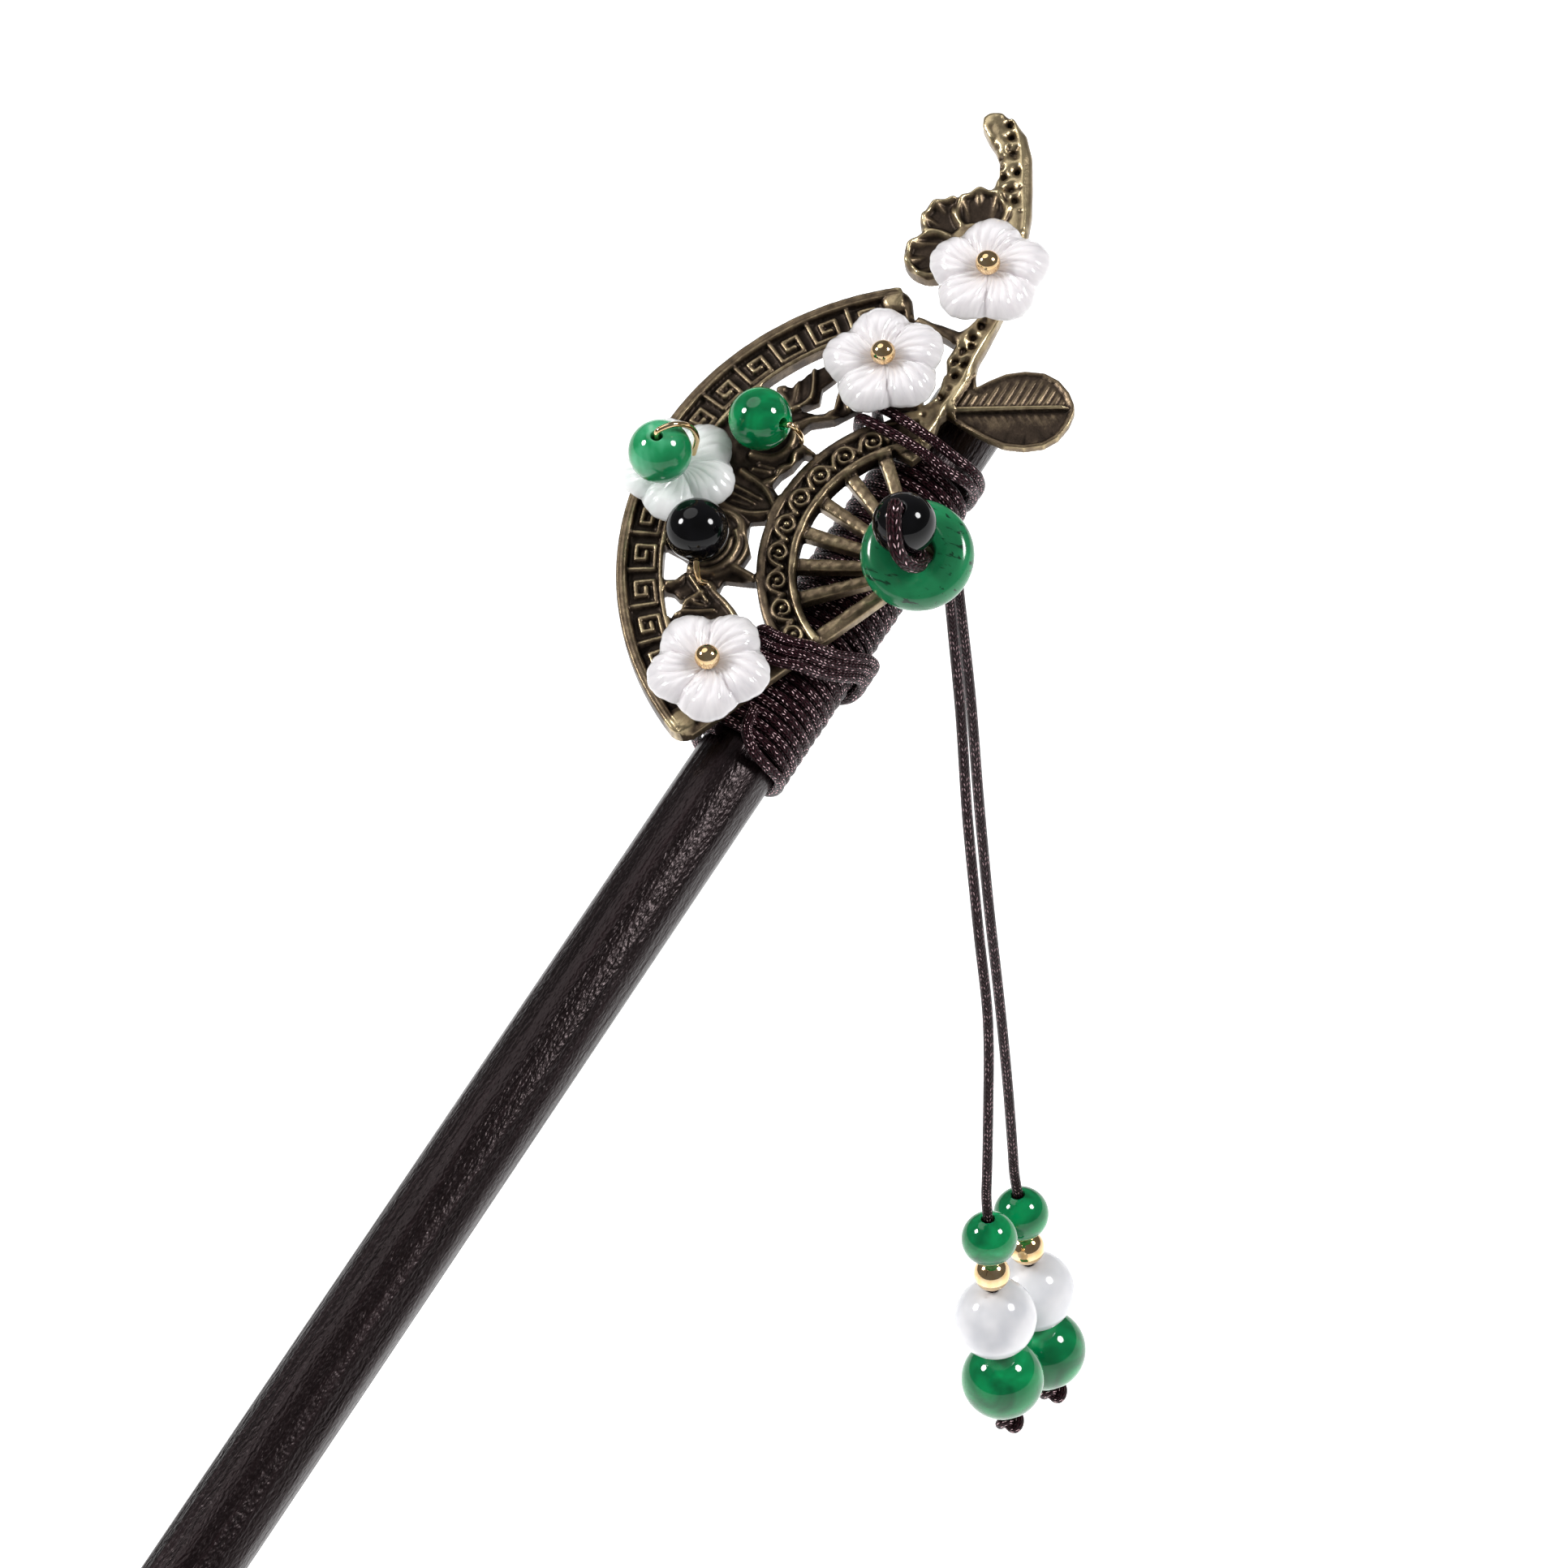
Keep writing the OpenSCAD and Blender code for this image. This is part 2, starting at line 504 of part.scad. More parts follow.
// Gold ball on a pin that goes down through the flower
module gold_pin(c) {
  r = ball_d/2;
  z = flower_t*.62 + r*.95;
  color(gold) place() translate(c) union() {
    translate([0, 0, z]) sphere(r);
    translate([0, 0, rim_z - c.z + gap]) cylinder(r = 0.2, h = z - rim_z + c.z - gap);
  }
}
module top_gold_pin() gold_pin(top_c);
module middle_gold_pin() gold_pin(middle_c);
module lower_gold_pin() gold_pin(lower_c);

pale_c = seat(on_fan(-.124, .86), rim_z + gap);
module pale_flower() color(pale) place() translate(pale_c) carved_flower(flower_d*0.97, 54, 1.4);

// Green bead on the pale flower, held by a wire that loops over its side
outer_c = pale_c + [-.95, .5, 1.4 + bead_r + 0.25];
module outer_green_bead() color(green) place() translate(outer_c) drilled_ball(bead_r, 0.4);
module outer_bead_wire() {
  k = bead_r;
  color(gold) place() translate(outer_c) tube(spline([[0, 0, -.6*k], [0, 0, .3*k], [0, 0, 1.05*k],
    [.15*k, -.12*k, 1.26*k], [.52*k, -.4*k, 1.2*k], [.86*k, -.65*k, .75*k],
    [.98*k, -.74*k, 0], [.86*k, -.66*k, -.62*k], [.8*k, -.62*k, -.84*k]], 2), 0.2);
}
// Green bead beside it, drilled towards the small fan
inner_c = seat(on_fan(.116, .7), rim_z + gap + bead_r);
inner_axis = unit([0, -.916, .4]);
module inner_green_bead() color(green) place() translate(inner_c) aim(inner_axis)
  drilled_ball(bead_r, 0.4);
module inner_bead_wire() {
  k = bead_r;
  color(gold) place() translate(inner_c) tube(spline([inner_axis*k*-1.15, [0, 0, 0], inner_axis*k*1.05,
    [.02*k, -1.16*k, .52*k], [.06*k, -1.33*k, .3*k], [.14*k, -1.38*k, -.1*k],
    [.24*k, -1.33*k, -.55*k], [.3*k, -1.25*k, -.85*k]], 2), 0.2);
}
// Black bead near the lower flower
dark_c = seat(on_fan(-.319, .664), rim_z + gap + bead_r);
dark_axis = unit([-.777, -.417, -.3]);
module black_bead() color(black) place() translate(dark_c) aim(dark_axis)
  drilled_ball(bead_r, 0.4);
module black_bead_wire() {
  k = bead_r;
  color(gold) place() translate(dark_c) tube(spline([dark_axis*k*-.85, [0, 0, 0],
    dark_axis*k*1.05, [-1.1*k, -.62*k, -.52*k], [-1.2*k, -.75*k, -.72*k],
    [-1.1*k, -.9*k, -.88*k]], 2), 0.2);
}

// Hanging cords: from the shoulder of the windings straight down, spread by their beads.
// Each place is towards the back, sideways and down from where the cord leaves the stick.
back_dir = [.784, .621, 0];
side_dir = [.621, -.784, 0];
function hang(e, q) = e + q.x*back_dir + q.y*side_dir + [0, 0, q.z];
shoulder_r = wind_out + cord_r + 0.12;
function shoulder(x) = [for (a = [42, 55, 68, 79])
  to_world([x, -shoulder_r*sin(a), shoulder_r*cos(a)])];
front_exit = to_world([-9.5, -shoulder_r*.985, shoulder_r*.17]);
back_exit = to_world([-8.6, -shoulder_r*.985, shoulder_r*.17]);
d1 = strand_bead_d/2 + strand_gold_d/2 + gap;
d2 = strand_gold_d/2 + large_bead_d/2 + gap;
d3 = large_bead_d + gap;
knot_r = cord_d*1.5;
d4 = large_bead_d/2 + knot_r + gap;
front_z = -front_drop;
back_z = -front_drop - back_lower;
// Straight stretches through the beads: above the bend and below it
front_a = [-2.2, -.5, front_z + d1 + d2 + 4];
front_b = [-2.3, -.5, front_z - d3/2];
front_e = [-2.3, .1, front_z - d3 - d4 - knot_r*.6];
back_a = [2.8, 1.25, back_z + d1 + d2 + 4];
back_b = [2.95, 2.3, back_z - d3/2];
back_e = [3, 3.1, back_z - d3 - d4 - knot_r*.6];
function mix(a, b, z) = a + (b - a)*(z - a.z)/(b.z - a.z);
module on_strand(exit, a, b, z) {
  translate(hang(exit, mix(a, b, z))) aim(hang([0, 0, 0], b - a)) children();
}
function route(exit, x, mid, a, b, e) = concat(
  shoulder(x), spline(concat([exit], [for (q = mid) hang(exit, q)], [hang(exit, a)]), 3),
  [for (i = [1:6]) hang(exit, a + (b - a)*i/6)],
  [for (i = [1:4]) hang(exit, b + (e - b)*i/4)]);
module front_cord() color(braid) tube(route(front_exit, -9.5,
  [[0, 0, -5], [-.4, .15, -14], [-.8, .1, -23], [-1.2, .3, -33], [-1.5, .5, -41], [-1.9, 0, -50]],
  front_a, front_b, front_e), cord_r);
module back_cord() color(braid) tube(route(back_exit, -8.6,
  [[.1, .1, -5], [.5, .4, -14], [1, .5, -24], [1.5, .7, -34], [2, 1, -43], [2.4, 1.2, -52]],
  back_a, back_b, back_e), cord_r);
hole_r = cord_r + 0.11;
module front_small_bead() color(green) on_strand(front_exit, front_a, front_b, front_z + d1 + d2)
  drilled_ball(strand_bead_d/2, hole_r);
module front_gold_bead() color(gold) on_strand(front_exit, front_a, front_b, front_z + d2)
  drilled_ball(strand_gold_d/2, hole_r);
module front_white_bead() color(milk) on_strand(front_exit, front_a, front_b, front_z)
  drilled_ball(large_bead_d/2, hole_r);
module front_green_bead() color(green) on_strand(front_exit, front_b, front_e, front_z - d3)
  drilled_ball(large_bead_d/2, hole_r);
module front_knot() color(braid) on_strand(front_exit, front_b, front_e, front_z - d3 - d4)
  drilled_ball(knot_r, cord_r + 0.03);
module back_small_bead() color(green) on_strand(back_exit, back_a, back_b, back_z + d1 + d2)
  drilled_ball(strand_bead_d/2, hole_r);
module back_gold_bead() color(gold) on_strand(back_exit, back_a, back_b, back_z + d2)
  drilled_ball(strand_gold_d/2, hole_r);
module back_white_bead() color(milk) on_strand(back_exit, back_a, back_b, back_z)
  drilled_ball(large_bead_d/2, hole_r);
module back_green_bead() color(green) on_strand(back_exit, back_b, back_e, back_z - d3)
  drilled_ball(large_bead_d/2, hole_r);
module back_knot() color(braid) on_strand(back_exit, back_b, back_e, back_z - d3 - d4)
  drilled_ball(knot_r, cord_r + 0.03);

stick();
fan_casting();
cord_windings();
upper_lashing();
lower_lashing();
closing_turn();
green_disc();
disc_bead();
toggle_cord();
top_shell_flower();
middle_shell_flower();
lower_shell_flower();
top_gold_pin();
middle_gold_pin();
lower_gold_pin();
pale_flower();
outer_green_bead();
outer_bead_wire();
inner_green_bead();
inner_bead_wire();
black_bead();
black_bead_wire();
front_cord();
front_small_bead();
front_gold_bead();
front_white_bead();
front_green_bead();
front_knot();
back_cord();
back_small_bead();
back_gold_bead();
back_white_bead();
back_green_bead();
back_knot();
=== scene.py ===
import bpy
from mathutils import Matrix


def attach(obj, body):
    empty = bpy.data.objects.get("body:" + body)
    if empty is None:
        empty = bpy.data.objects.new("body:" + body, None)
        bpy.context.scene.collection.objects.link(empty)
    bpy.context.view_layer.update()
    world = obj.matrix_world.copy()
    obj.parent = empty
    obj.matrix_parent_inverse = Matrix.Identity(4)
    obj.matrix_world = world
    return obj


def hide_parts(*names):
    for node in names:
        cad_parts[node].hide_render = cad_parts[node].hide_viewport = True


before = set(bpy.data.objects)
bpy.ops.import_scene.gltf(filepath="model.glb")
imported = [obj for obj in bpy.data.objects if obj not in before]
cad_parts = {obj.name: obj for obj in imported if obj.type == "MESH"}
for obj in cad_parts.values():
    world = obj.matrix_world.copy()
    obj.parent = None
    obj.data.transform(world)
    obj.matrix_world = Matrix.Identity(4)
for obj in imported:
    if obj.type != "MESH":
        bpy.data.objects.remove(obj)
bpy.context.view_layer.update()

from math import cos, hypot, pi, radians, sin, sqrt

import bpy
import numpy as np
from mathutils import Matrix, Vector
from mathutils.kdtree import KDTree

# Camera. It stands half a metre off, above the stick's lower side, with a long lens, so that the
# stick runs from the lower left to the upper right and the fan's face is seen at a slant.
camera = bpy.data.objects.new("long_lens", bpy.data.cameras.new("long_lens"))
bpy.context.scene.collection.objects.link(camera)
camera_right = Vector((0.573059, -0.816568, -0.069429))
camera_up = Vector((0.557922, 0.326679, 0.762892))
camera_back = Vector((-0.600272, -0.475918, 0.642788))
camera.matrix_world = (Matrix.Translation((-0.239599, -0.235956, 0.331680))
                       @ Matrix((camera_right, camera_up, camera_back)).transposed().to_4x4())
sensor_width, focal_dots, picture_dots = 36, 9250, 1932     # the last two count the picture's dots
camera.data.sensor_width = sensor_width
camera.data.lens = sensor_width*focal_dots/picture_dots
camera.data.clip_start, camera.data.clip_end = 0.02, 20
bpy.context.scene.camera = camera

# The two hanging cords. Each is a braided polyester cord of 0.75 mm with a few bright threads in
# it. It leaves the side of the windings, hangs under the weight of its beads, and ends in a knot.
cord_radius = 0.375
braid_columns = 6        # columns of slanting stitches around the cord
braid_stitch = 0.34      # length of one stitch along the cord
# Lengths are in millimetres. ON_STICK turns the ornament's own axes into the frame's metres:
# x runs along the stick to its head, y to the fan's side, and z out of the fan's face.
stick_slope, fan_turn, ornament_at = 19, 11, 86
MILLIMETRES = Matrix.Scale(0.001, 4)
ON_STICK = (MILLIMETRES @ Matrix.Rotation(radians(-stick_slope), 4, "Y")
            @ Matrix.Rotation(radians(fan_turn), 4, "X") @ Matrix.Translation((ornament_at, 0, 0)))


def paint(code):
    """The linear colour of an sRGB hex code."""
    parts = [int(code[i:i + 2], 16)/255 for i in (1, 3, 5)]
    return [c/12.92 if c <= 0.04045 else ((c + 0.055)/1.055)**2.4 for c in parts] + [1]


def add(tree, kind, inputs=None, stops=(), out=0, **settings):
    """Adds a shader node with its settings, sets or links its inputs, and gives back one of its outputs."""
    made = tree.nodes.new("ShaderNode" + kind)
    for name, value in settings.items():
        setattr(made, name, value)
    for i, (share, code) in enumerate(stops):
        stop = made.color_ramp.elements[i] if i < 2 else made.color_ramp.elements.new(share)
        stop.position, stop.color = share, paint(code)
    for name, value in (inputs or {}).items():
        if isinstance(value, bpy.types.NodeSocket):
            tree.links.new(value, made.inputs[name])
        else:
            made.inputs[name].default_value = value
    return made.outputs[out]


def finish(name, **fixed):
    """A new material, its nodes, its shader with the fixed values set, and the place in millimetres."""
    material = bpy.data.materials.new(name)
    material.use_nodes = True
    tree = material.node_tree
    shader = tree.nodes["Principled BSDF"]
    shader.inputs["Subsurface Radius"].default_value = (1, 1, 1)
    for key, value in fixed.items():
        shader.inputs[key.replace("_", " ")].default_value = value
    spot = add(tree, "VectorMath", {0: add(tree, "TexCoord", out="Object"), 1: (1000, 1000, 1000)},
               operation="MULTIPLY")
    return material, tree, shader, spot


def give(shader, **made):
    """Links the colours, amounts and bumps that were made for a surface to its shader."""
    for key, value in made.items():
        shader.id_data.links.new(value, shader.inputs[key.replace("_", " ")])


def take(piece):
    """Selects this piece alone."""
    bpy.ops.object.select_all(action="DESELECT")
    piece.select_set(True)
    bpy.context.view_layer.objects.active = piece


def round_line(points, steps):
    """Smooth line through the points, with so many steps from one to the next."""
    points = [Vector(p) for p in points]
    line = []
    for i in range(len(points) - 1):
        a, b, c = points[max(i - 1, 0)], points[i], points[i + 1]
        d = points[min(i + 2, len(points) - 1)]
        for j in range(steps):
            t = j/steps
            line.append((b*2 + (c - a)*t + (a*2 - b*5 + c*4 - d)*t*t + (b*3 - a - c*3 + d)*t**3)/2)
    return line + [points[-1]]


def run_of_cord(name, lines, radius, closed=False):
    """Cord along one or more lines: a curve with a round section, made a mesh. Its map counts
    millimetres along the cord, and turns around it."""
    curve = bpy.data.curves.new(name, "CURVE")
    curve.dimensions = "3D"
    curve.bevel_depth, curve.bevel_resolution, curve.use_fill_caps = radius, 4, not closed
    lengths = []
    for line in lines:
        spline = curve.splines.new("POLY")
        spline.points.add(len(line) - 1)
        for point, place in zip(spline.points, line):
            point.co = (*place, 1)
        spline.use_cyclic_u = closed
        lengths.append(sum((b - a).length for a, b in zip(line, line[1:])))
    piece = bpy.data.objects.new(name, curve)
    bpy.context.scene.collection.objects.link(piece)
    take(piece)
    bpy.ops.object.convert(target="MESH")
    length = sum(lengths)/len(lengths)
    for corner in piece.data.uv_layers[0].data:
        corner.uv = (corner.uv.x*length, corner.uv.y)
    bpy.ops.object.shade_smooth()
    return piece


# Braided cord: stitches slant to both sides in columns, which gives small chevrons. Its filaments
# shine like satin. Some two stitches in five are of bright, half metallic thread, and their crests
# are painted pale as short glinting dashes: a painted glint. Between the stitches the colour is
# painted near black, as painted shade. Stitches and dashes are drawn slightly coarser than the
# real ones, which are too fine to show.
cord_finish, tree, shader, _ = finish(
    "braided_satin_cord", Roughness=0.3, Specular_IOR_Level=0.2, Specular_Tint=paint("#dcaab2"),
    Sheen_Weight=0.02, Sheen_Roughness=0.4, Sheen_Tint=paint("#c98d97"))
run = add(tree, "SeparateXYZ", {0: add(tree, "TexCoord", out="UV")})
around = add(tree, "Math", {0: run.node.outputs[1], 1: 2*braid_columns}, operation="MULTIPLY")
column = add(tree, "Math", {0: around, 1: 1}, operation="PINGPONG")
stitches = add(tree, "Math", {0: run, 1: 1/braid_stitch}, operation="MULTIPLY")
slant = add(tree, "Math", {0: column, 1: 0.9, 2: stitches}, operation="MULTIPLY_ADD")
stitch = add(tree, "Math", {0: add(tree, "Math", {0: slant, 1: pi}, operation="MULTIPLY")}, operation="SINE")
stitch = add(tree, "Math", {0: stitch}, operation="ABSOLUTE")
swell = add(tree, "Math", {0: add(tree, "Math", {0: column, 1: pi}, operation="MULTIPLY")}, operation="SINE")
height = add(tree, "Math", {0: stitch, 1: swell}, operation="MULTIPLY")
# Painted shade and light: the colour goes near black down between the stitches and lighter on their crests
shade = add(tree, "ValToRGB", {0: height}, stops=[(0.05, "#040203"), (0.5, "#1c0b10"), (1.0, "#3a1a22")])
one_stitch = add(tree, "CombineXYZ", {0: add(tree, "Math", {0: slant}, operation="FLOOR"),
                                      1: add(tree, "Math", {0: around}, operation="FLOOR")})
chance = add(tree, "TexWhiteNoise", {"Vector": one_stitch}, out="Value", noise_dimensions="2D")
chosen = add(tree, "Math", {0: chance, 1: 0.58}, operation="GREATER_THAN")
crest = add(tree, "Math", {0: height, 1: 0.76}, operation="GREATER_THAN")
bright_thread_and_glint = add(tree, "Math", {0: chosen, 1: crest}, operation="MULTIPLY")
# Painted glint: the crests of the chosen bright stitches are painted pale pink, and made half metal
colour = add(tree, "Mix", {0: bright_thread_and_glint, 6: shade, 7: paint("#e8c4ca")}, out=2, data_type="RGBA")
# Painted shade: where a piece marks it, the cord's colour is painted darker, towards black
painted_shade = add(tree, "Attribute", out="Fac", attribute_name="painted_shade")
colour = add(tree, "Mix", {0: painted_shade, 6: colour, 7: paint("#050304")}, out=2, data_type="RGBA")
metal = add(tree, "Math", {0: bright_thread_and_glint, 1: 0.55}, operation="MULTIPLY")
braid = add(tree, "Bump", {"Height": height, "Distance": 0.00007, "Strength": 1.0})
give(shader, Base_Color=colour, Metallic=metal, Normal=braid)

# Where the cords run. Each leaves the shoulder of the windings at its own place along the stick,
# and every place after that is towards the back, sideways and down from there.
shoulder = 4.045                             # from the stick's axis to a cord that lies on the windings
exit_side, exit_up = .985, .17               # where it comes off them, in shares of that distance
leaves_at = {"front": -9.5, "back": -8.6}
towards_back, sideways = Vector((0.784, 0.621, 0)), Vector((0.621, -0.784, 0))
way_down = {
    "front": [(0, 0, -5), (-.4, .15, -14), (-.8, .1, -23), (-1.2, .3, -33), (-1.5, .5, -41), (-1.9, 0, -50)],
    "back": [(.1, .1, -5), (.5, .4, -14), (1, .5, -24), (1.5, .7, -34), (2, 1, -43), (2.4, 1.2, -52)]}
through_beads = {"front": [(-2.2, -.5, -56.9), (-2.3, -.5, -71.75), (-2.3, .1, -79.7)],
                 "back": [(2.8, 1.25, -60.5), (2.95, 2.3, -75.35), (3, 3.1, -83.3)]}
white_bead_at = {"front": -68.7, "back": -72.3}
green_bead_drop, knot_drop = 6.1, 4.225      # from the white bead's middle, and from the green one's


def below(side, place):
    """A place on a hanging cord, in the frame's millimetres."""
    start = 1000*(ON_STICK @ Vector((leaves_at[side], -shoulder*exit_side, shoulder*exit_up)))
    return start + place[0]*towards_back + place[1]*sideways + Vector((0, 0, place[2]))


def on_cord(side, drop):
    """Place and direction of the cord at the bead whose middle is that far down."""
    start, bend, end = [Vector(p) for p in through_beads[side]]
    first, last = (start, bend) if drop >= bend.z else (bend, end)
    share = (drop - first.z)/(last.z - first.z)
    along = (below(side, last) - below(side, first)).normalized()
    return below(side, first + (last - first)*share), along


def overhand(size, depth, points):
    """The line of an overhand knot drawn tight, which runs as a trefoil does."""
    return [Vector((size*(sin(t) + 2*sin(2*t)), size*(cos(t) - 2*cos(2*t)), -size*depth*sin(3*t)))
            for t in (2*pi*i/72 for i in range(points))]


hanging = {}
for side in ("front", "back"):
    start, bend, end = [Vector(p) for p in through_beads[side]]
    over = [(sin(radians(t)), cos(radians(t))) for t in (42, 55, 68, 79)]
    route = [1000*(ON_STICK @ Vector((leaves_at[side], -shoulder*s, shoulder*c))) for s, c in over]
    route += round_line([below(side, p) for p in [(0, 0, 0)] + way_down[side] + [start]], 3)
    route += [below(side, start + (bend - start)*i/6) for i in range(1, 7)]
    route += [below(side, bend + (end - bend)*i/4) for i in range(1, 5)]
    hanging[side] = route
    cord = run_of_cord(side + "_hanging_cord", [round_line(route, 4)], cord_radius)
    # It hangs straight, so less of its bright thread catches the light than on the windings: its whole
    # colour, painted glints too, is painted darker, as painted shade
    painted_hang_shade = cord.data.attributes.new("painted_shade", "FLOAT", "POINT")
    painted_hang_shade.data.foreach_set("value", [.6]*len(cord.data.vertices))
    cord.data.transform(MILLIMETRES)
    cord.data.materials.append(cord_finish)
    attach(cord, "root")
    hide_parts(side + "_cord")

    # The knot that stops the beads: an overhand knot drawn tight, with the cord's end in it.
    middle, along = on_cord(side, white_bead_at[side] - green_bead_drop - knot_drop)
    downwards = Vector((0, 0, -1)).rotation_difference(along).to_matrix().to_4x4()
    knot = run_of_cord(side + "_end_knot", [overhand(.26, 1.5, 72)], cord_radius, closed=True)
    knot.data.transform(MILLIMETRES @ Matrix.Translation(middle) @ downwards)
    knot.data.materials.append(cord_finish)
    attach(knot, "root")
    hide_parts(side + "_knot")

# Wooden stick. Dark hardwood, turned to a round shank with a long taper and a rounded point,
# sanded and oiled: satin, with fine open pores that run along it.
stick_radius, stick_length, taper = 2.75, 175, 62
head_radius, head_edge = 2.25, .5            # flat of the head end, and its rounded edge
tip_radius, tip_length = 1.4, 2.24           # the rounded point
head_at = .8                                 # how far the head end stands past the ornament's origin


def smoothed_off():
    """Ends the work on a piece in edit mode: all its faces point outwards, and it is shaded smooth."""
    bpy.ops.mesh.select_all(action="SELECT")
    bpy.ops.mesh.normals_make_consistent(inside=False)
    bpy.ops.mesh.select_mode(type="VERT")
    bpy.ops.object.mode_set(mode="OBJECT")
    bpy.ops.object.shade_smooth()


def lathed(name, outline):
    """A piece turned on a lathe: the outline of (radius, height) is spun around Z and closed."""
    bpy.ops.mesh.primitive_circle_add(vertices=len(outline), radius=1)
    piece = bpy.context.object
    piece.name = name
    for vertex, (r, h) in zip(piece.data.vertices, outline):
        vertex.co = (r, 0, h)
    bpy.ops.object.mode_set(mode="EDIT")
    bpy.ops.mesh.select_all(action="SELECT")
    bpy.ops.mesh.spin(steps=96, angle=2*pi, center=(0, 0, 0), axis=(0, 0, 1))
    bpy.ops.mesh.select_all(action="SELECT")
    bpy.ops.mesh.remove_doubles(threshold=0.0005)
    bpy.ops.mesh.dissolve_degenerate(threshold=0.0001)
    smoothed_off()
    return piece


shank = stick_length - taper
taper_shares, taper_radii = (0, .3, .6, .964), (stick_radius, .93*stick_radius, .8*stick_radius, tip_radius)
stick_outline = [(0, 0)] + [(head_radius*i/4, 0) for i in range(1, 5)]
stick_outline += [(head_radius + head_edge*sin(t), head_edge - head_edge*cos(t))
                  for t in (pi/2*i/8 for i in range(1, 9))]
stick_outline += [(stick_radius, 2 + (shank - 2)*i/20) for i in range(21)]
stick_outline += [(float(np.interp(t, taper_shares, taper_radii)), shank + taper*t)
                  for t in (taper_shares[-1]*i/24 for i in range(1, 25))]
stick_outline += [(tip_radius*cos(t), stick_length - tip_length + tip_length*sin(t))
                  for t in (pi/2*i/12 for i in range(1, 12))]
stick_outline += [(0, stick_length)]
stick = lathed("turned_stick", stick_outline)
stick.data.transform(ON_STICK @ Matrix.Translation((head_at, 0, 0)) @ Matrix.Rotation(radians(-90), 4, "Y"))
# Oiled hardwood: almost black, with long darker pores and paler streaks along the grain, and the
# slight flats of the plane, which catch the light as long satin stripes. The fine speckle that
# breaks the stripes is drawn coarser than the real grain, which is too fine to show.
wood_finish, tree, shader, spot = finish("oiled_blackwood", Specular_IOR_Level=0.38,
                                         Specular_Tint=paint("#e2cdcf"))
grain = add(tree, "Mapping", {"Vector": spot, "Rotation": (0, radians(stick_slope), 0)})
streak, pores, speckle, flats = (
    add(tree, "TexNoise", {"Vector": add(tree, "Mapping", {"Vector": grain, "Scale": (stretch, 1, 1)}),
                           "Scale": scale, "Detail": detail, "Roughness": rough})
    for stretch, scale, detail, rough in ((0.03, 1.6, 6.0, 0.66), (0.35, 6.0, 3.0, 0.75),
                                          (0.4, 6.0, 1.0, 0.5), (0.02, 0.75, 2.0, 0.5)))
shade = add(tree, "ValToRGB", {0: streak}, stops=[(0.34, "#060303"), (0.52, "#0e0708"), (0.72, "#1e1215")])
pit = add(tree, "ValToRGB", {0: pores}, stops=[(0.38, "#000000"), (0.52, "#ffffff")])
filled = add(tree, "Math", {0: pit, 1: 0.6, 2: 0.4}, operation="MULTIPLY_ADD")
colour = add(tree, "Mix", {0: filled, 6: paint("#0a0607"), 7: shade}, out=2, data_type="RGBA")
satin = add(tree, "Math", {0: streak, 1: 0.24, 2: 0.17}, operation="MULTIPLY_ADD")
planed = add(tree, "Bump", {"Height": flats, "Distance": 0.0006, "Strength": 0.6})
sanded = add(tree, "Bump", {"Height": speckle, "Distance": 0.00006, "Strength": 1.0, "Normal": planed})
give(shader, Base_Color=colour, Roughness=satin, Normal=sanded)
stick.data.materials.append(wood_finish)
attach(stick, "root")
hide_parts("stick")

# Windings. The braided cord is wound side by side around the stick, in nearly 29 turns from the upper
# lashing to the slack last turn. The lower lashing closes over them.
turns, pitch, wind_head = 29, 0.8, -5.75
coil_radius = stick_radius + 0.05 + cord_radius
coil_steps = 40
coil = []
for i in range(turns*coil_steps - coil_steps//2 + 1):
    t = i/coil_steps
    uneven = coil_radius + .012*sin(5.1*t + 1) + .01*sin(2.3*t)
    coil.append(Vector((wind_head - .42 - pitch*t*(turns - 1)/(turns - 1.05),
                        -uneven*sin(2*pi*t), uneven*cos(2*pi*t))))
windings = run_of_cord("wound_cord", [coil], cord_radius)
# Between two turns little light comes in, so there the cord's colour is painted near black: painted shade
painted_gap_shade = windings.data.attributes.new("painted_shade", "FLOAT", "POINT")
for vertex, mark in zip(windings.data.vertices, painted_gap_shade.data):
    mark.value = min(1, max(0, (coil_radius + .27 - hypot(vertex.co.y, vertex.co.z))/.25))
windings.data.transform(ON_STICK)
windings.data.materials.append(cord_finish)
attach(windings, "root")
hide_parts("cord_windings")

# Last turn of the windings, of the same cord. It is slack: it slips off their end and closes around
# the bare stick, and its end is tucked under it.
bare = coil_radius + .1              # a strand that closes around the bare stick
slack_at = wind_head - turns*pitch - cord_radius - .1
slack_line = round_line([(slack_at + along, y, z) for along, y, z in (
    (2, -.45, 4), (1.3, -.55, 4.05), (.4, -.8, 4), (-.3, -1.7, 3.3), (-.4, -2.7, 2), (-.15, -bare, .2),
    (-.05, -bare*.71, -bare*.71), (0, 0, -bare), (0, bare*.71, -bare*.71), (0, bare, 0),
    (0, bare*.75, bare*.66), (0, bare*.35, bare*.94))], 6)
last = run_of_cord("slack_last_turn", [slack_line], cord_radius)
last.data.transform(ON_STICK)
last.data.materials.append(cord_finish)
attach(last, "root")
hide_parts("closing_turn")

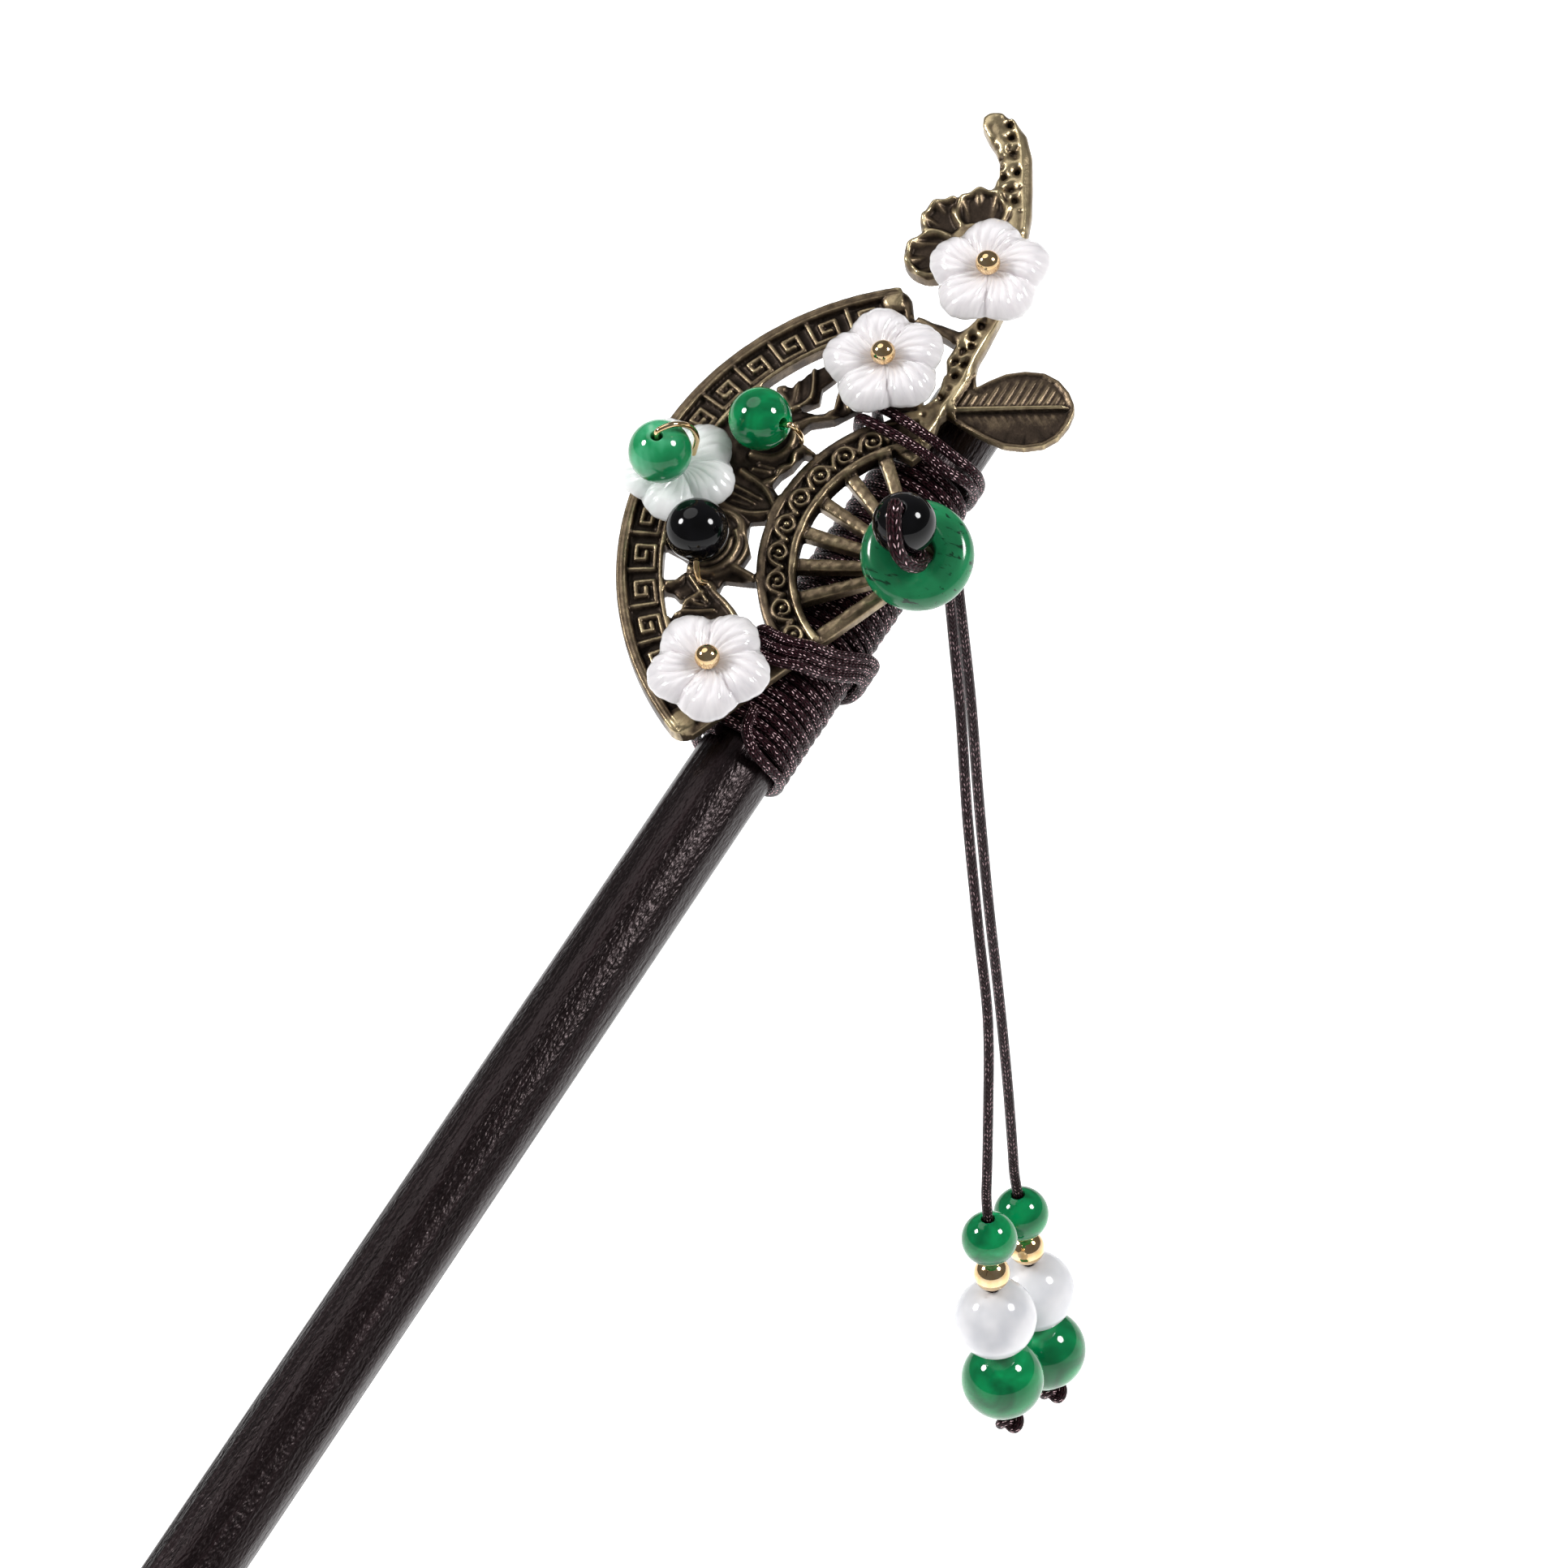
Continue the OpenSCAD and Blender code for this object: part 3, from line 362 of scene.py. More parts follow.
# Lashings, of the same cord, drawn tight. Two strands cross the casting beside the leaf and close
# around the bare stick. Three cross its lower guard, slant over the windings and close behind them.
plate_low, plate_top = 3.65, 4.5
rim_top = plate_top + 0.5
top = rim_top + cord_radius + .05
upper = [round_line([
    (foot, 0, -bare), (foot, bare*.71, -bare*.71), (foot, bare, -.1), ((foot + edge)/2 - .1, 3.95, 1.3),
    (edge, out, 3.2), (edge, out, plate_top), (edge, out - .48, top + .03),
    (edge*.75 + crown*.25, 1.7, top), (crown, 0, top), (crown - .05, -1, top - .3), (crown + .1, -2.1, 4.1),
    (foot*.6 + crown*.4, -3.3, 2.5), (foot - .05, -3.5, 1), (foot, -bare, -.5),
    (foot, -bare*.71, -bare*.71), (foot, -.1, -bare)], 6)
    for foot, edge, crown, out in [(-4.35, -4.75, -5.1, 3.85), (-5.15, -6.05, -6.25, 4.5)]]
wide = stick_radius + .8 + cord_radius + .08        # a strand that closes around the windings
lower = []
for i in range(3):
    foot, edge = -20.6 + .76*i, -24.35 + .82*i
    lower.append(round_line([
        (foot - 1.2, 0, -wide), (foot - 2.2, wide*.71, -wide*.71), (foot - 2.9, wide, 0),
        (edge + .1, 3.5, 2.15), (edge, 2.75, 3.15), (edge, 2.2, plate_top - .2), (edge, 1.6, top - .05),
        (edge, .6, top), (edge + .1, -.6, top), (edge + .6, -1.72, 5.02), (edge + 1.4, -2.72, 3.55),
        (edge + 2.4, -3.48, 2.22), (foot - .3, -wide, .8), (foot, -wide, -.8),
        (foot - .45, -wide*.71, -wide*.71), (foot - 1.15, -.1, -wide)], 6))
for name, strands in (("upper_lashing", upper), ("lower_lashing", lower)):
    lashing = run_of_cord(name + "_strands", strands, cord_radius)
    lashing.data.transform(ON_STICK)
    lashing.data.materials.append(cord_finish)
    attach(lashing, "root")
    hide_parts(name)

# The casting: fan bands with a key pattern and curls, a small fan of ribs, a pierced leafy middle,
# a twig and a leaf, all one piece of bronze from a lost-wax mould. Its edges are soft, its hollows
# are dark with patina, and what hands touch is worn to bright metal.
fan_middle, fan_radius = Vector((-12.5, -5.3)), 21.0
fan_from, fan_to = 38, 156                  # directions of the fan's two ends, in degrees
key_band_from, edge_rim_at = 17.75, 20.64   # the outer band's inside, and the middle of its smooth rim
band_middle = Vector((-13.004, -5.593))     # of the inner band
curl_band_from, curl_band_to = 9.0, 11.9    # the inner band's inside and outside
leaf_base, leaf_turn, leaf_length = Vector((-2.462, .097)), -60.5, 8.6
blossom = Vector((9.298, 4.591))            # where the blossom's petals meet
blossom_petals = ((71, 1.5, 5), (129, 1.57, 0), (23, 1.48, -3))    # direction, way out, turn of the folds
petal_radius = 1.9
cast = bpy.data.objects.new("cast_fan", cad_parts["fan_casting"].data.copy())
bpy.context.scene.collection.objects.link(cast)
cast.data.transform(ON_STICK.inverted())
# The plain relief is pressed back to the plate first, and carved anew below with its soft forms.
for vertex in cast.data.vertices:
    vertex.co.z = min(vertex.co.z, plate_top)
take(cast)
bpy.ops.object.mode_set(mode="EDIT")
bpy.ops.mesh.select_all(action="SELECT")
bpy.ops.mesh.remove_doubles(threshold=0.002)
bpy.ops.object.mode_set(mode="OBJECT")
skin = cast.modifiers.new("cast_skin", "REMESH")
skin.mode, skin.voxel_size, skin.use_smooth_shade = "VOXEL", 0.08, True
bpy.ops.object.modifier_apply(modifier=skin.name)
soft = cast.modifiers.new("soft_edges", "SMOOTH")
soft.factor, soft.iterations = 0.5, 3
bpy.ops.object.modifier_apply(modifier=soft.name)


def field(mesh, name):
    """All places, or all normals, of a mesh as rows of three numbers."""
    values = np.zeros(len(mesh.vertices)*3)
    mesh.vertices.foreach_get(name, values)
    return values.reshape(-1, 3)


def neighbours(mesh):
    """The two points of every edge, and how many edges meet in each point."""
    pairs = np.zeros(len(mesh.edges)*2, int)
    mesh.edges.foreach_get("vertices", pairs)
    return pairs[::2], pairs[1::2], np.maximum(np.bincount(pairs, minlength=len(mesh.vertices)), 1)


def beside(values, links):
    """The mean value of the points beside each point."""
    a, b, count = links
    return (np.bincount(a, values[b], len(values)) + np.bincount(b, values[a], len(values)))/count


def eased_out(values, links, times):
    """Each point's value, drawn half way towards those of the points beside it, so many times."""
    for _ in range(times):
        values = (values + beside(values, links))/2
    return values


place, facing = field(cast.data, "co"), field(cast.data, "normal")
px, py = place[:, 0], place[:, 1]
# How far each point lies from the nearest cut edge of the plate
on_wall = (abs(facing[:, 2]) < .45) & (place[:, 2] > plate_low + .2) & (place[:, 2] < plate_top - .12)
wall_points = np.flatnonzero(on_wall)[::3]
wall = KDTree(len(wall_points))
for i in wall_points:
    wall.insert((px[i], py[i], 0), int(i))
wall.balance()
inward = np.zeros(len(place))
for i in np.flatnonzero(place[:, 2] > plate_low + .3):
    inward[i] = wall.find((px[i], py[i], 0))[2]
links = neighbours(cast.data)
inward = eased_out(inward, links, 6)


def held(values):
    """The values, held between 0 and 1."""
    return np.clip(values, 0, 1)


def rounded(distance, width):
    """Height from 0 at the width to 1 in the middle, as a half-round section has."""
    return np.sqrt(held(1 - (distance/width)**2))


def from_edge(width):
    """Height from 0 at the plate's cut edges to 1 at the width and further in, with a round shoulder."""
    return rounded(np.clip(width - inward, 0, width), width)


def towards(degrees):
    """The direction at so many degrees on the fan's face."""
    return Vector((cos(radians(degrees)), sin(radians(degrees))))


def from_line(points, x, y):
    """Distance of each point from a drawn line, and the share of the line up to its nearest place."""
    points = [np.array(q[:2], float) for q in points]
    reach = 1.2                             # points further off stay far
    far, share = np.full(len(x), 9.0), np.zeros(len(x))
    low, high = np.min(points, 0) - reach, np.max(points, 0) + reach
    near = np.flatnonzero((x > low[0]) & (x < high[0]) & (y > low[1]) & (y < high[1]))
    total, gone = sum(np.hypot(*(b - a)) for a, b in zip(points, points[1:])), 0
    for a, b in zip(points, points[1:]):
        run = np.hypot(*(b - a))
        t = np.clip(((x[near] - a[0])*(b - a)[0] + (y[near] - a[1])*(b - a)[1])/run**2, 0, 1)
        d = np.hypot(x[near] - a[0] - t*(b - a)[0], y[near] - a[1] - t*(b - a)[1])
        closer = d < far[near]
        far[near[closer]] = d[closer]
        share[near[closer]] = (gone + t[closer]*run)/total
        gone += run
    return far, share


def ridge(points, width, height, end=None, steps=4, x=px, y=py):
    """A rounded ridge along a smooth line, from one width to another, as high as said."""
    line = round_line([(*q, 0) for q in points], steps) if steps else points
    far, share = from_line(line, x, y)
    return height*rounded(far, width + ((end or width) - width)*share)


def waves(x, y, seed):
    """Slow uneven waves, as a hand-worked wax has."""
    return (np.sin(1.7*x + 2.3*y + seed)*np.sin(2.9*y - 1.3*x + 2*seed)
            + .6*np.sin(4.3*x + seed)*np.sin(3.7*y + .7*x)
            + .4*np.sin(7.1*y + 5.9*x + seed)*np.sin(8.3*x - 2.2*y))/2


# Places in the fan: turn and distance around its middle, and around the inner band's
turn_a = np.degrees(np.arctan2(py - fan_middle.y, px - fan_middle.x))
far_a = np.hypot(px - fan_middle.x, py - fan_middle.y)
turn_b = np.degrees(np.arctan2(py - band_middle.y, px - band_middle.x))
far_b = np.hypot(px - band_middle.x, py - band_middle.y)
in_fan = (turn_a > fan_from - .9) & (turn_a < fan_to + 1.6) & (far_a > 3)
key_band = in_fan & (far_a > key_band_from)
curl_band = in_fan & (far_b > curl_band_from) & (far_b < curl_band_to)
web = in_fan & ~key_band & (far_b >= curl_band_to)
ribs = in_fan & (far_b <= curl_band_from)
rise = np.where(in_fan, .03*waves(px, py, 1), 0)

# Key pattern: 14 square spiral lines side by side. Each comes down from the outer rim, runs along the
# foot and turns in on itself. The rims are smooth, and a round knob closes each end of the band.
key_units, key_margin = 14, 2.5             # the margin at each end is in degrees
key_width, key_height, key_foot = 2.664, 1.91, 18.29
key_line_width, key_rise, half_line = .19, .34, .15
unit = (turn_a - fan_from - key_margin)/((fan_to - fan_from - 2*key_margin)/key_units)
key_x, key_y = key_width*(1 - (unit - np.floor(unit))), far_a - key_foot
drawn = .93*key_width
outer_x, inner_x, outer_y = .82*drawn - half_line, .3*drawn + half_line, .82*key_height - half_line
inner_y = .32*key_height + half_line
link = [(half_line, key_height + .2), (half_line, half_line), (outer_x, half_line)]
spiral = link + [(outer_x, outer_y), (inner_x, outer_y), (inner_x, inner_y), (.58*drawn, inner_y)]
key = np.maximum(ridge(spiral, key_line_width, key_rise, steps=0, x=key_x, y=key_y),
                 ridge(link, key_line_width, key_rise, steps=0, x=key_x - key_width, y=key_y))
key = np.where((unit > -.02) & (unit < key_units), np.minimum(1.2*key, key_rise), 0)
outer_rim = .5*held(1.3*rounded(far_a - edge_rim_at, .44))
inner_rim = .44*held(1.2*rounded(far_a - 18.0, .25))
rise = np.where(key_band, rise - .04 + np.maximum.reduce([key, outer_rim, inner_rim]), rise)
for turn in (fan_from + .6, fan_to - .6):
    knob = fan_middle + 20.03*towards(turn)
    rise = np.maximum(rise, .5*held(1.2*rounded(np.hypot(px - knob.x, py - knob.y), .98)))

# Curls: one scalloped line runs along the band, and in each scallop it turns into a spiral around a dome
curl_each, curl_middle, curl_line_width = 11.75, 10.4475, .25
curl_width = radians(curl_each)*10.45
unit = (turn_b - 54.5)/curl_each
curl_x, curl_y = -(unit - np.round(unit))*curl_width, far_b - curl_middle
curl_line = [(-curl_width/2, -.34), (-.86, .02), (-.5, .44), (0, .58), (.46, .42), (.66, 0), (.5, -.4),
             (.08, -.56), (-.32, -.42), (-.44, -.08), (-.26, .2)]
next_curl = [(.6, .3), (.84, -.02), (curl_width/2, -.34)]
curls = np.maximum.reduce([ridge(curl_line, curl_line_width, .42, end=.17, x=curl_x, y=curl_y),
                           ridge(next_curl, curl_line_width, .4, x=curl_x, y=curl_y),
                           .48*rounded(np.hypot(curl_x - .08, curl_y + .06), .29)])
curls = np.where((unit > -.6) & (unit < 8.6), curls, 0)
band_rims = np.maximum(.34*held(1.3*rounded(far_b - 11.5, .42)), .47*held(1.15*rounded(far_b - 9.4, .34)))
rise = np.where(curl_band, rise + .06 + np.maximum(curls, band_rims), rise)
rise = np.where(ribs, rise + .1 + .05*waves(2*px, 2*py, 5), rise)

# The pierced middle: leaves, buds and ruffled petals around the beads, on thin stems. Each line is
# given with its width, its height and the width at its end.
web_lines = [
    ([(-15.7, 9.4), (-15.5, 7.6), (-14.95, 6.5), (-14.4, 5.9)], .3, .3, .2),
    ([(-12.9, 9.4), (-13.2, 7.6), (-13.8, 6.5), (-14.4, 5.9)], .3, .3, .2),
    ([(-14.6, 9.2), (-14.6, 7.4)], .16, .26, .1), ([(-14.05, 9.2), (-14.1, 7.2)], .16, .26, .1),
    ([(-15.1, 8.9), (-14.9, 7.6)], .13, .2, .08), ([(-16.8, 8.2), (-16.6, 9.4)], .16, .3, .1),
    ([(-20.9, 9.2), (-20.7, 7.8), (-20, 6.95), (-18.9, 6.55), (-17.7, 6.7), (-17, 7.3)], .34, .42, .26),
    ([(-20.4, 6.8), (-19.5, 6.15), (-18.4, 5.95), (-17.4, 6.2), (-16.9, 6.7)], .26, .3, .2),
    ([(-20.3, 8.2), (-19.7, 7.4), (-18.6, 7.05), (-17.6, 7.3)], .2, .36, .16),
    ([(-16.9, 6.9), (-16.2, 7.5), (-16, 8.4), (-16.3, 9.6)], .34, .36, .24),
    ([(-11.5, 9.4), (-11.2, 8.3), (-10.4, 7.65), (-9.3, 7.6), (-8.2, 8.1)], .36, .4, .28),
    ([(-12.9, 7.5), (-12.2, 7.0), (-11.5, 7.15), (-10.9, 6.65), (-10.1, 7.0), (-9.3, 6.6), (-8.6, 7.1)],
     .3, .32, .24),
    ([(-12.4, 8.8), (-12.1, 7.8)], .2, .26, .12), ([(-11.9, 8.6), (-11.7, 7.6)], .14, .24, .1),
    ([(-19.4, 6.2), (-19.3, 5.2), (-19.5, 4.2)], .32, .34, .4),
    ([(-9.3, 6.8), (-9.45, 6.0), (-9.4, 5.2)], .3, .34, .4),
    ([(-7.3, 8.9), (-6.5, 8.4), (-5.6, 8.35), (-4, 9.2), (-3, 9.9)], .2, .36, .12),
    ([(-7.3, 9), (-6.2, 9.3), (-5, 9.9), (-4, 10.6)], .3, .26, .2),
    ([(-7.0, 10.9), (-6.6, 10.1), (-7.2, 9.2)], .3, .26, .2),
    ([(-8.1, 7.9), (-7.2, 7.1), (-6.6, 5.9), (-5.9, 4.9), (-5.1, 4.1)], .36, .34, .3),
    ([(-7, 6.6), (-5.6, 6.5), (-4, 7.1), (-2.8, 7.9)], .3, .32, .2),
    ([(-22.8, 10.3), (-22.5, 9.3), (-21.9, 8.75), (-20.8, 8.9)], .34, .36, .3),
    ([(-5.4, 5.6), (-4.8, 6.4)], .2, .24, .1), ([(-23.1, 9.4), (-22.2, 9.1)], .2, .24, .12),
    ([(-24.1, 7.5), (-23.2, 7.5), (-22.6, 7.2), (-21.9, 6.9)], .3, .36, .2),
    ([(-23.7, 7.2), (-23.3, 6.4), (-22.7, 5.5)], .22, .3, .14),
    ([(-21.3, 8.2), (-21.8, 7.3), (-22.4, 6.2)], .2, .38, .12), ([(-22.9, 7.2), (-22.7, 6.2)], .14, .28, .08),
    ([(-21.2, 6.8), (-21.6, 5.8), (-22.1, 4.6), (-22.9, 3.4)], .26, .32, .22)]
carved = -.14 + .2*from_edge(.7) + .05*waves(1.6*px, 1.6*py, 3)
for points, width, height, end in web_lines:
    carved = np.maximum(carved, ridge(points, 1.15*width, 1.15*height, 1.15*end))
carved = np.maximum(carved, .34*rounded(np.hypot(px + 6.25, py - 10.55), .55))
rise = np.where(web, carved, rise)

# Twig: a rounded branch with a smooth ridge along its lower edge, knots, and pits where buds broke off
twig = ~in_fan & ((px > -6.9) & (py > -1.3) | (px > 4))
bark = .5*from_edge(1.15) - .1 + .03*waves(1.3*px, 1.3*py, 7)
for points, width, height, end in (
        ([(-4.9, .1), (-3.4, 0), (-2.4, .2), (-1.4, .15), (0, .1), (1.5, .3), (3.4, .42), (5.3, .4)],
         .27, .4, .22),
        ([(12, 2.5), (13, 3.05), (14.4, 3.95), (16, 4.95), (17.4, 5.9), (18.6, 6.9), (19.1, 7.6)],
         .27, .4, .22),
        ([(17.3, 8.2), (17.8, 8.9), (18.5, 9.1), (19, 8.5)], .4, .42, .4),
        ([(3.2, 1.75), (4.2, 1.6), (5.1, 1.5)], .24, .34, .2),
        ([(-2.9, 1.2), (-1.6, .85), (-.3, 1.35)], .22, .36, .16),
        ([(2.2, 2.6), (2.5, 4), (2.7, 5.4)], .4, .36, .4),
        ([(13, 5.6), (14, 5.7), (15.1, 6.35), (16, 7.2), (16.7, 8.2)], .22, .36, .2)):
    bark = np.maximum(bark, ridge(points, width, height, end))
bark = np.maximum(bark, .44*rounded(np.hypot((px - 18.35)/1.15, py - 8.75), .62))
for x, y, r in (
        (-1, .55, .3), (.15, .75, .27), (.8, 1.3, .3), (1.0, .8, .22), (1.75, 1.25, .3), (2.5, 1.0, .32),
        (3.15, 1.25, .26), (4.05, 1.1, .27), (4.75, 1.2, .22), (13.2, 5.0, .34), (14.2, 5.15, .28),
        (13.75, 4.1, .26), (13.1, 3.35, .2), (14.9, 5.85, .24), (15.6, 6.3, .26), (15.75, 5.2, .32),
        (16.25, 6.75, .27), (16.8, 7.45, .24), (17.1, 6.65, .3), (17.4, 6.1, .2), (18.1, 6.95, .27),
        (18.7, 7.65, .26), (14.75, 4.35, .22), (16.55, 5.85, .22), (-3.6, 1.0, .3), (-4.3, .6, .2),
        (2.0, 3.3, .3)):
    d = np.hypot(px - x, (py - y)/.85)/(.88*r)
    bark += np.where(d < 1.7, -.18*held(1 - d*d) + .03*np.exp(-((d - 1.2)/.25)**2), 0)
rise = np.where(twig, bark, rise)

# Blossom behind the top flower: three ruffled petals, cupped, in soft folds, with rolled bright rims
for turn, out_to, shift in blossom_petals:
    middle = blossom + petal_radius*out_to*towards(turn)
    out = np.hypot(px - middle.x, py - middle.y)
    ray = np.degrees(np.arctan2(py - blossom.y, px - blossom.x)) - turn + shift
    depth = np.hypot(px - blossom.x, py - blossom.y)
    fold = np.cos(np.radians(ray*360/17 + 40*np.sin(np.radians(depth*60))))
    cup = -.14 + .46*held(out/1.75)**2.4 + .2*fold*held((depth - 1.6)/2.2)
    cup = np.maximum(cup, .6*rounded(out - 1.66 - .07*fold, .2)*(.85 + .15*fold))
    rise = np.where((out < petal_radius + .15) & (depth > petal_radius) & ~in_fan, cup, rise)

# The free forms run into each other softly, as wax does, and every cut edge of the plate is rounded over
rise = np.where(key_band | curl_band, rise, eased_out(rise, links, 4))
rise -= .2*(1 - from_edge(.42))*np.where(key_band & ((far_a > 20.1) | (far_a < 18.3)), .5, 1)

# Leaf: a thin blade below the rest, with a rolled rim, a strong midrib and fine slanting veins
ahead = towards(leaf_turn)
leaf_x = (px - leaf_base.x)*ahead.x + (py - leaf_base.y)*ahead.y
leaf_y = -(px - leaf_base.x)*ahead.y + (py - leaf_base.y)*ahead.x
on_leaf = (leaf_x > .75) & (leaf_x < leaf_length + .6) & (abs(leaf_y) < 3.4) & (py < -.25) & ~in_fan
vein = abs(np.sin(pi*(leaf_x - .55*abs(leaf_y))/.56))**.8
blade = -.04 - .1*held(abs(leaf_y)/2.5)
blade += np.where(leaf_y > 0, .17, .09)*vein*held(abs(leaf_y)/.5)*held(inward/.5 - .4)
blade += .34*held(1 - inward/.42)**.7*held(leaf_x/2) - .14*held(1 - inward/.15)
blade = np.maximum(blade, .46*rounded(leaf_y, .25 - .012*leaf_x)*held((leaf_length - leaf_x)/.8))
blade_top = plate_top - .23
lifted = held((place[:, 2] - 3.8)/.62)
lifted = lifted*lifted*(3 - 2*lifted)
place[:, 2] = np.where(on_leaf, np.where(place[:, 2] > 4.0, blade_top + blade, place[:, 2]),
                       place[:, 2] + rise*lifted)
cast.data.vertices.foreach_set("co", place.ravel())
cast.data.update()
fewer = cast.modifiers.new("fewer_faces", "DECIMATE")
fewer.ratio = 185000/sum(len(face.vertices) - 2 for face in cast.data.polygons)
bpy.ops.object.modifier_apply(modifier=fewer.name)


def note_wear(piece, floor, reach):
    """Marks each point with how worn it is: high places, edges, the twig and the ribs most, hollows least.
    Also keeps a map of the place on the fan's face, in millimetres from the middle of its arcs."""
    mesh = piece.data
    links = neighbours(mesh)
    place, normal = field(mesh, "co"), field(mesh, "normal")
    eased = place
    for _ in range(6):
        eased = np.stack([beside(eased[:, i], links) for i in range(3)], 1)
    out = ((place - eased)*normal).sum(1)
    high = held((place[:, 2] - floor)/reach)
    x, y = place[:, 0], place[:, 1]
    far = np.hypot(x - fan_middle.x, y - fan_middle.y)
    from_band = np.hypot(x - band_middle.x, y - band_middle.y)
    on_twig = (y > -.4) & ((x > 3.8) | (y < 2) & (x > -6))
    on_ribs = (from_band < 9.1) | (y - fan_middle.y < -.49*(x - fan_middle.x))
    on_bands = (y >= -.4) & ~on_twig & ~on_ribs
    on_key, on_rim = on_bands & (far > key_band_from), on_bands & (far > 20.15)
    on_web = on_bands & (far < key_band_from) & (from_band > curl_band_to)
    in_petals = np.zeros(len(x), bool)
    for turn, out_to, _ in blossom_petals:
        middle = blossom + petal_radius*out_to*towards(turn)
        in_petals |= np.hypot(x - middle.x, y - middle.y) < petal_radius
    on_branch = on_twig & ~in_petals
    worn = held(.4 + .3*high + 5*out - .2*on_bands - .12*(on_bands & ~on_web & ~on_key) - .02*on_web
                - .1*on_rim - .06*in_petals + .16*on_branch + .1*on_ribs)
    worn = eased_out(np.where(on_branch, np.maximum(worn, .3), worn), links, 2)
    mark = mesh.attributes.new("worn", "FLOAT", "POINT")
    mark.data.foreach_set("value", worn.astype(np.float32))
    while mesh.uv_layers:
        mesh.uv_layers.remove(mesh.uv_layers[0])
    face_map = mesh.uv_layers.new(name="face")
    corners = np.zeros(len(mesh.loops), int)
    mesh.loops.foreach_get("vertex_index", corners)
    face_map.data.foreach_set("uv", (place[corners, :2] - np.array(fan_middle)).ravel().astype(np.float32))


note_wear(cast, plate_top, rim_top - plate_top)
cast.data.transform(ON_STICK)
# Antiqued bronze: brown-black patina in the hollows, pale brass where it is rubbed, and a fine
# grain left by the mould. A few fine lines run along the outer rim.
bronze_finish, tree, shader, spot = finish("antiqued_cast_bronze", Metallic=0.85)
worn = add(tree, "Attribute", out="Fac", attribute_name="worn")
mottle = add(tree, "TexNoise", {"Vector": spot, "Scale": 1.1, "Detail": 5.0, "Roughness": 0.65})
grit = add(tree, "TexNoise", {"Vector": spot, "Scale": 6.0, "Detail": 3.0, "Roughness": 0.65})
rubbed = add(tree, "Math", {0: mottle, 1: 0.7, 2: worn}, operation="MULTIPLY_ADD")
rubbed = add(tree, "Math", {0: rubbed, 1: 0.35}, operation="SUBTRACT")
shade = add(tree, "ValToRGB", {0: rubbed}, stops=[(0.0, "#1f1812"), (0.3, "#3d3229"), (0.62, "#776752"),
                                                  (1.0, "#c4b28c")])
gloss = add(tree, "MapRange", {0: rubbed, 1: 0.0, 2: 1.0, 3: 0.46, 4: 0.28})
line_spacing = .27
reach = add(tree, "VectorMath", {0: add(tree, "TexCoord", out="UV")}, out="Value", operation="LENGTH")
rim_lines = add(tree, "Math", {0: reach, 1: 2*pi/line_spacing}, operation="MULTIPLY")
rim_lines = add(tree, "Math", {0: rim_lines}, operation="SINE")
from_rim = add(tree, "Math", {0: reach, 1: edge_rim_at}, operation="SUBTRACT")
from_rim = add(tree, "Math", {0: from_rim}, operation="ABSOLUTE")
near_rim = add(tree, "MapRange", {0: from_rim, 1: 0.26, 2: 0.34, 3: 1.0, 4: 0.0})
rim_lines = add(tree, "Math", {0: rim_lines, 1: near_rim}, operation="MULTIPLY")
height = add(tree, "Math", {0: rim_lines, 1: 0.5, 2: grit}, operation="MULTIPLY_ADD")
moulded = add(tree, "Bump", {"Height": height, "Distance": 0.00004, "Strength": 0.5})
give(shader, Base_Color=shade, Roughness=gloss, Normal=moulded)
cast.data.materials.clear()
cast.data.materials.append(bronze_finish)
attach(cast, "root")
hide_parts("fan_casting")


def on_fan(across, along):
    """A place on the casting, as shares of the fan's radius from the middle of its arcs."""
    return Vector((fan_middle.x + fan_radius*across, fan_middle.y + fan_radius*along))


# Drilled disc of dark green stone over the small fan's hub. It is cut and polished with a rounded
# edge, and leans on the hub.
hub = on_fan(-.043, .029)
disc_at = Vector((hub.x - .3, hub.y - .1, rim_top + 1.6))
disc_lean = Matrix.Rotation(radians(221), 4, "Z") @ Matrix.Rotation(radians(15), 4, "Y")
disc_radius, disc_half, bore = 3.725, 1.2, 1.1
mouth = [(bore, .8*disc_half), (bore + .07, .92*disc_half), (bore + .2, disc_half),
         (.62*disc_radius, disc_half)]
disc_outline = [(r, -h) for r, h in mouth]
disc_outline += [(disc_radius*(.72 + .28*sin(t)), -disc_half*cos(t)) for t in (pi*i/20 for i in range(21))]
disc_outline += reversed(mouth)
disc = lathed("green_stone_disc", disc_outline)
disc.data.transform(ON_STICK @ Matrix.Translation(disc_at) @ disc_lean)
# Polished stone: even deep green, lighter where the light comes through its edge, with a few thin
# dark streaks that lie one way.
stone_finish, tree, shader, spot = finish(
    "polished_green_stone", Roughness=0.16, IOR=1.56, Subsurface_Weight=0.2, Subsurface_Scale=0.0008)
clouds = add(tree, "TexNoise", {"Vector": spot, "Scale": 0.22, "Detail": 3.0, "Roughness": 0.5,
                                "Distortion": 0.4})
shade = add(tree, "ValToRGB", {0: clouds}, stops=[(0.3, "#14633d"), (0.5, "#1d784b"), (0.72, "#298c5b")])
lying = add(tree, "Mapping", {"Vector": spot, "Rotation": (0.3, 0.5, 0.9), "Scale": (1, 0.12, 1)})
vein = add(tree, "TexNoise", {"Vector": lying, "Scale": 2.2, "Detail": 3.0, "Roughness": 0.6,
                              "Distortion": 0.4})
vein = add(tree, "ValToRGB", {0: vein}, stops=[(0.34, "#000000"), (0.4, "#ffffff")])
colour = add(tree, "Mix", {0: vein, 6: paint("#0b3a24"), 7: shade}, out=2, data_type="RGBA")
give(shader, Base_Color=colour)
disc.data.materials.append(stone_finish)
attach(disc, "root")
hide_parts("green_disc")

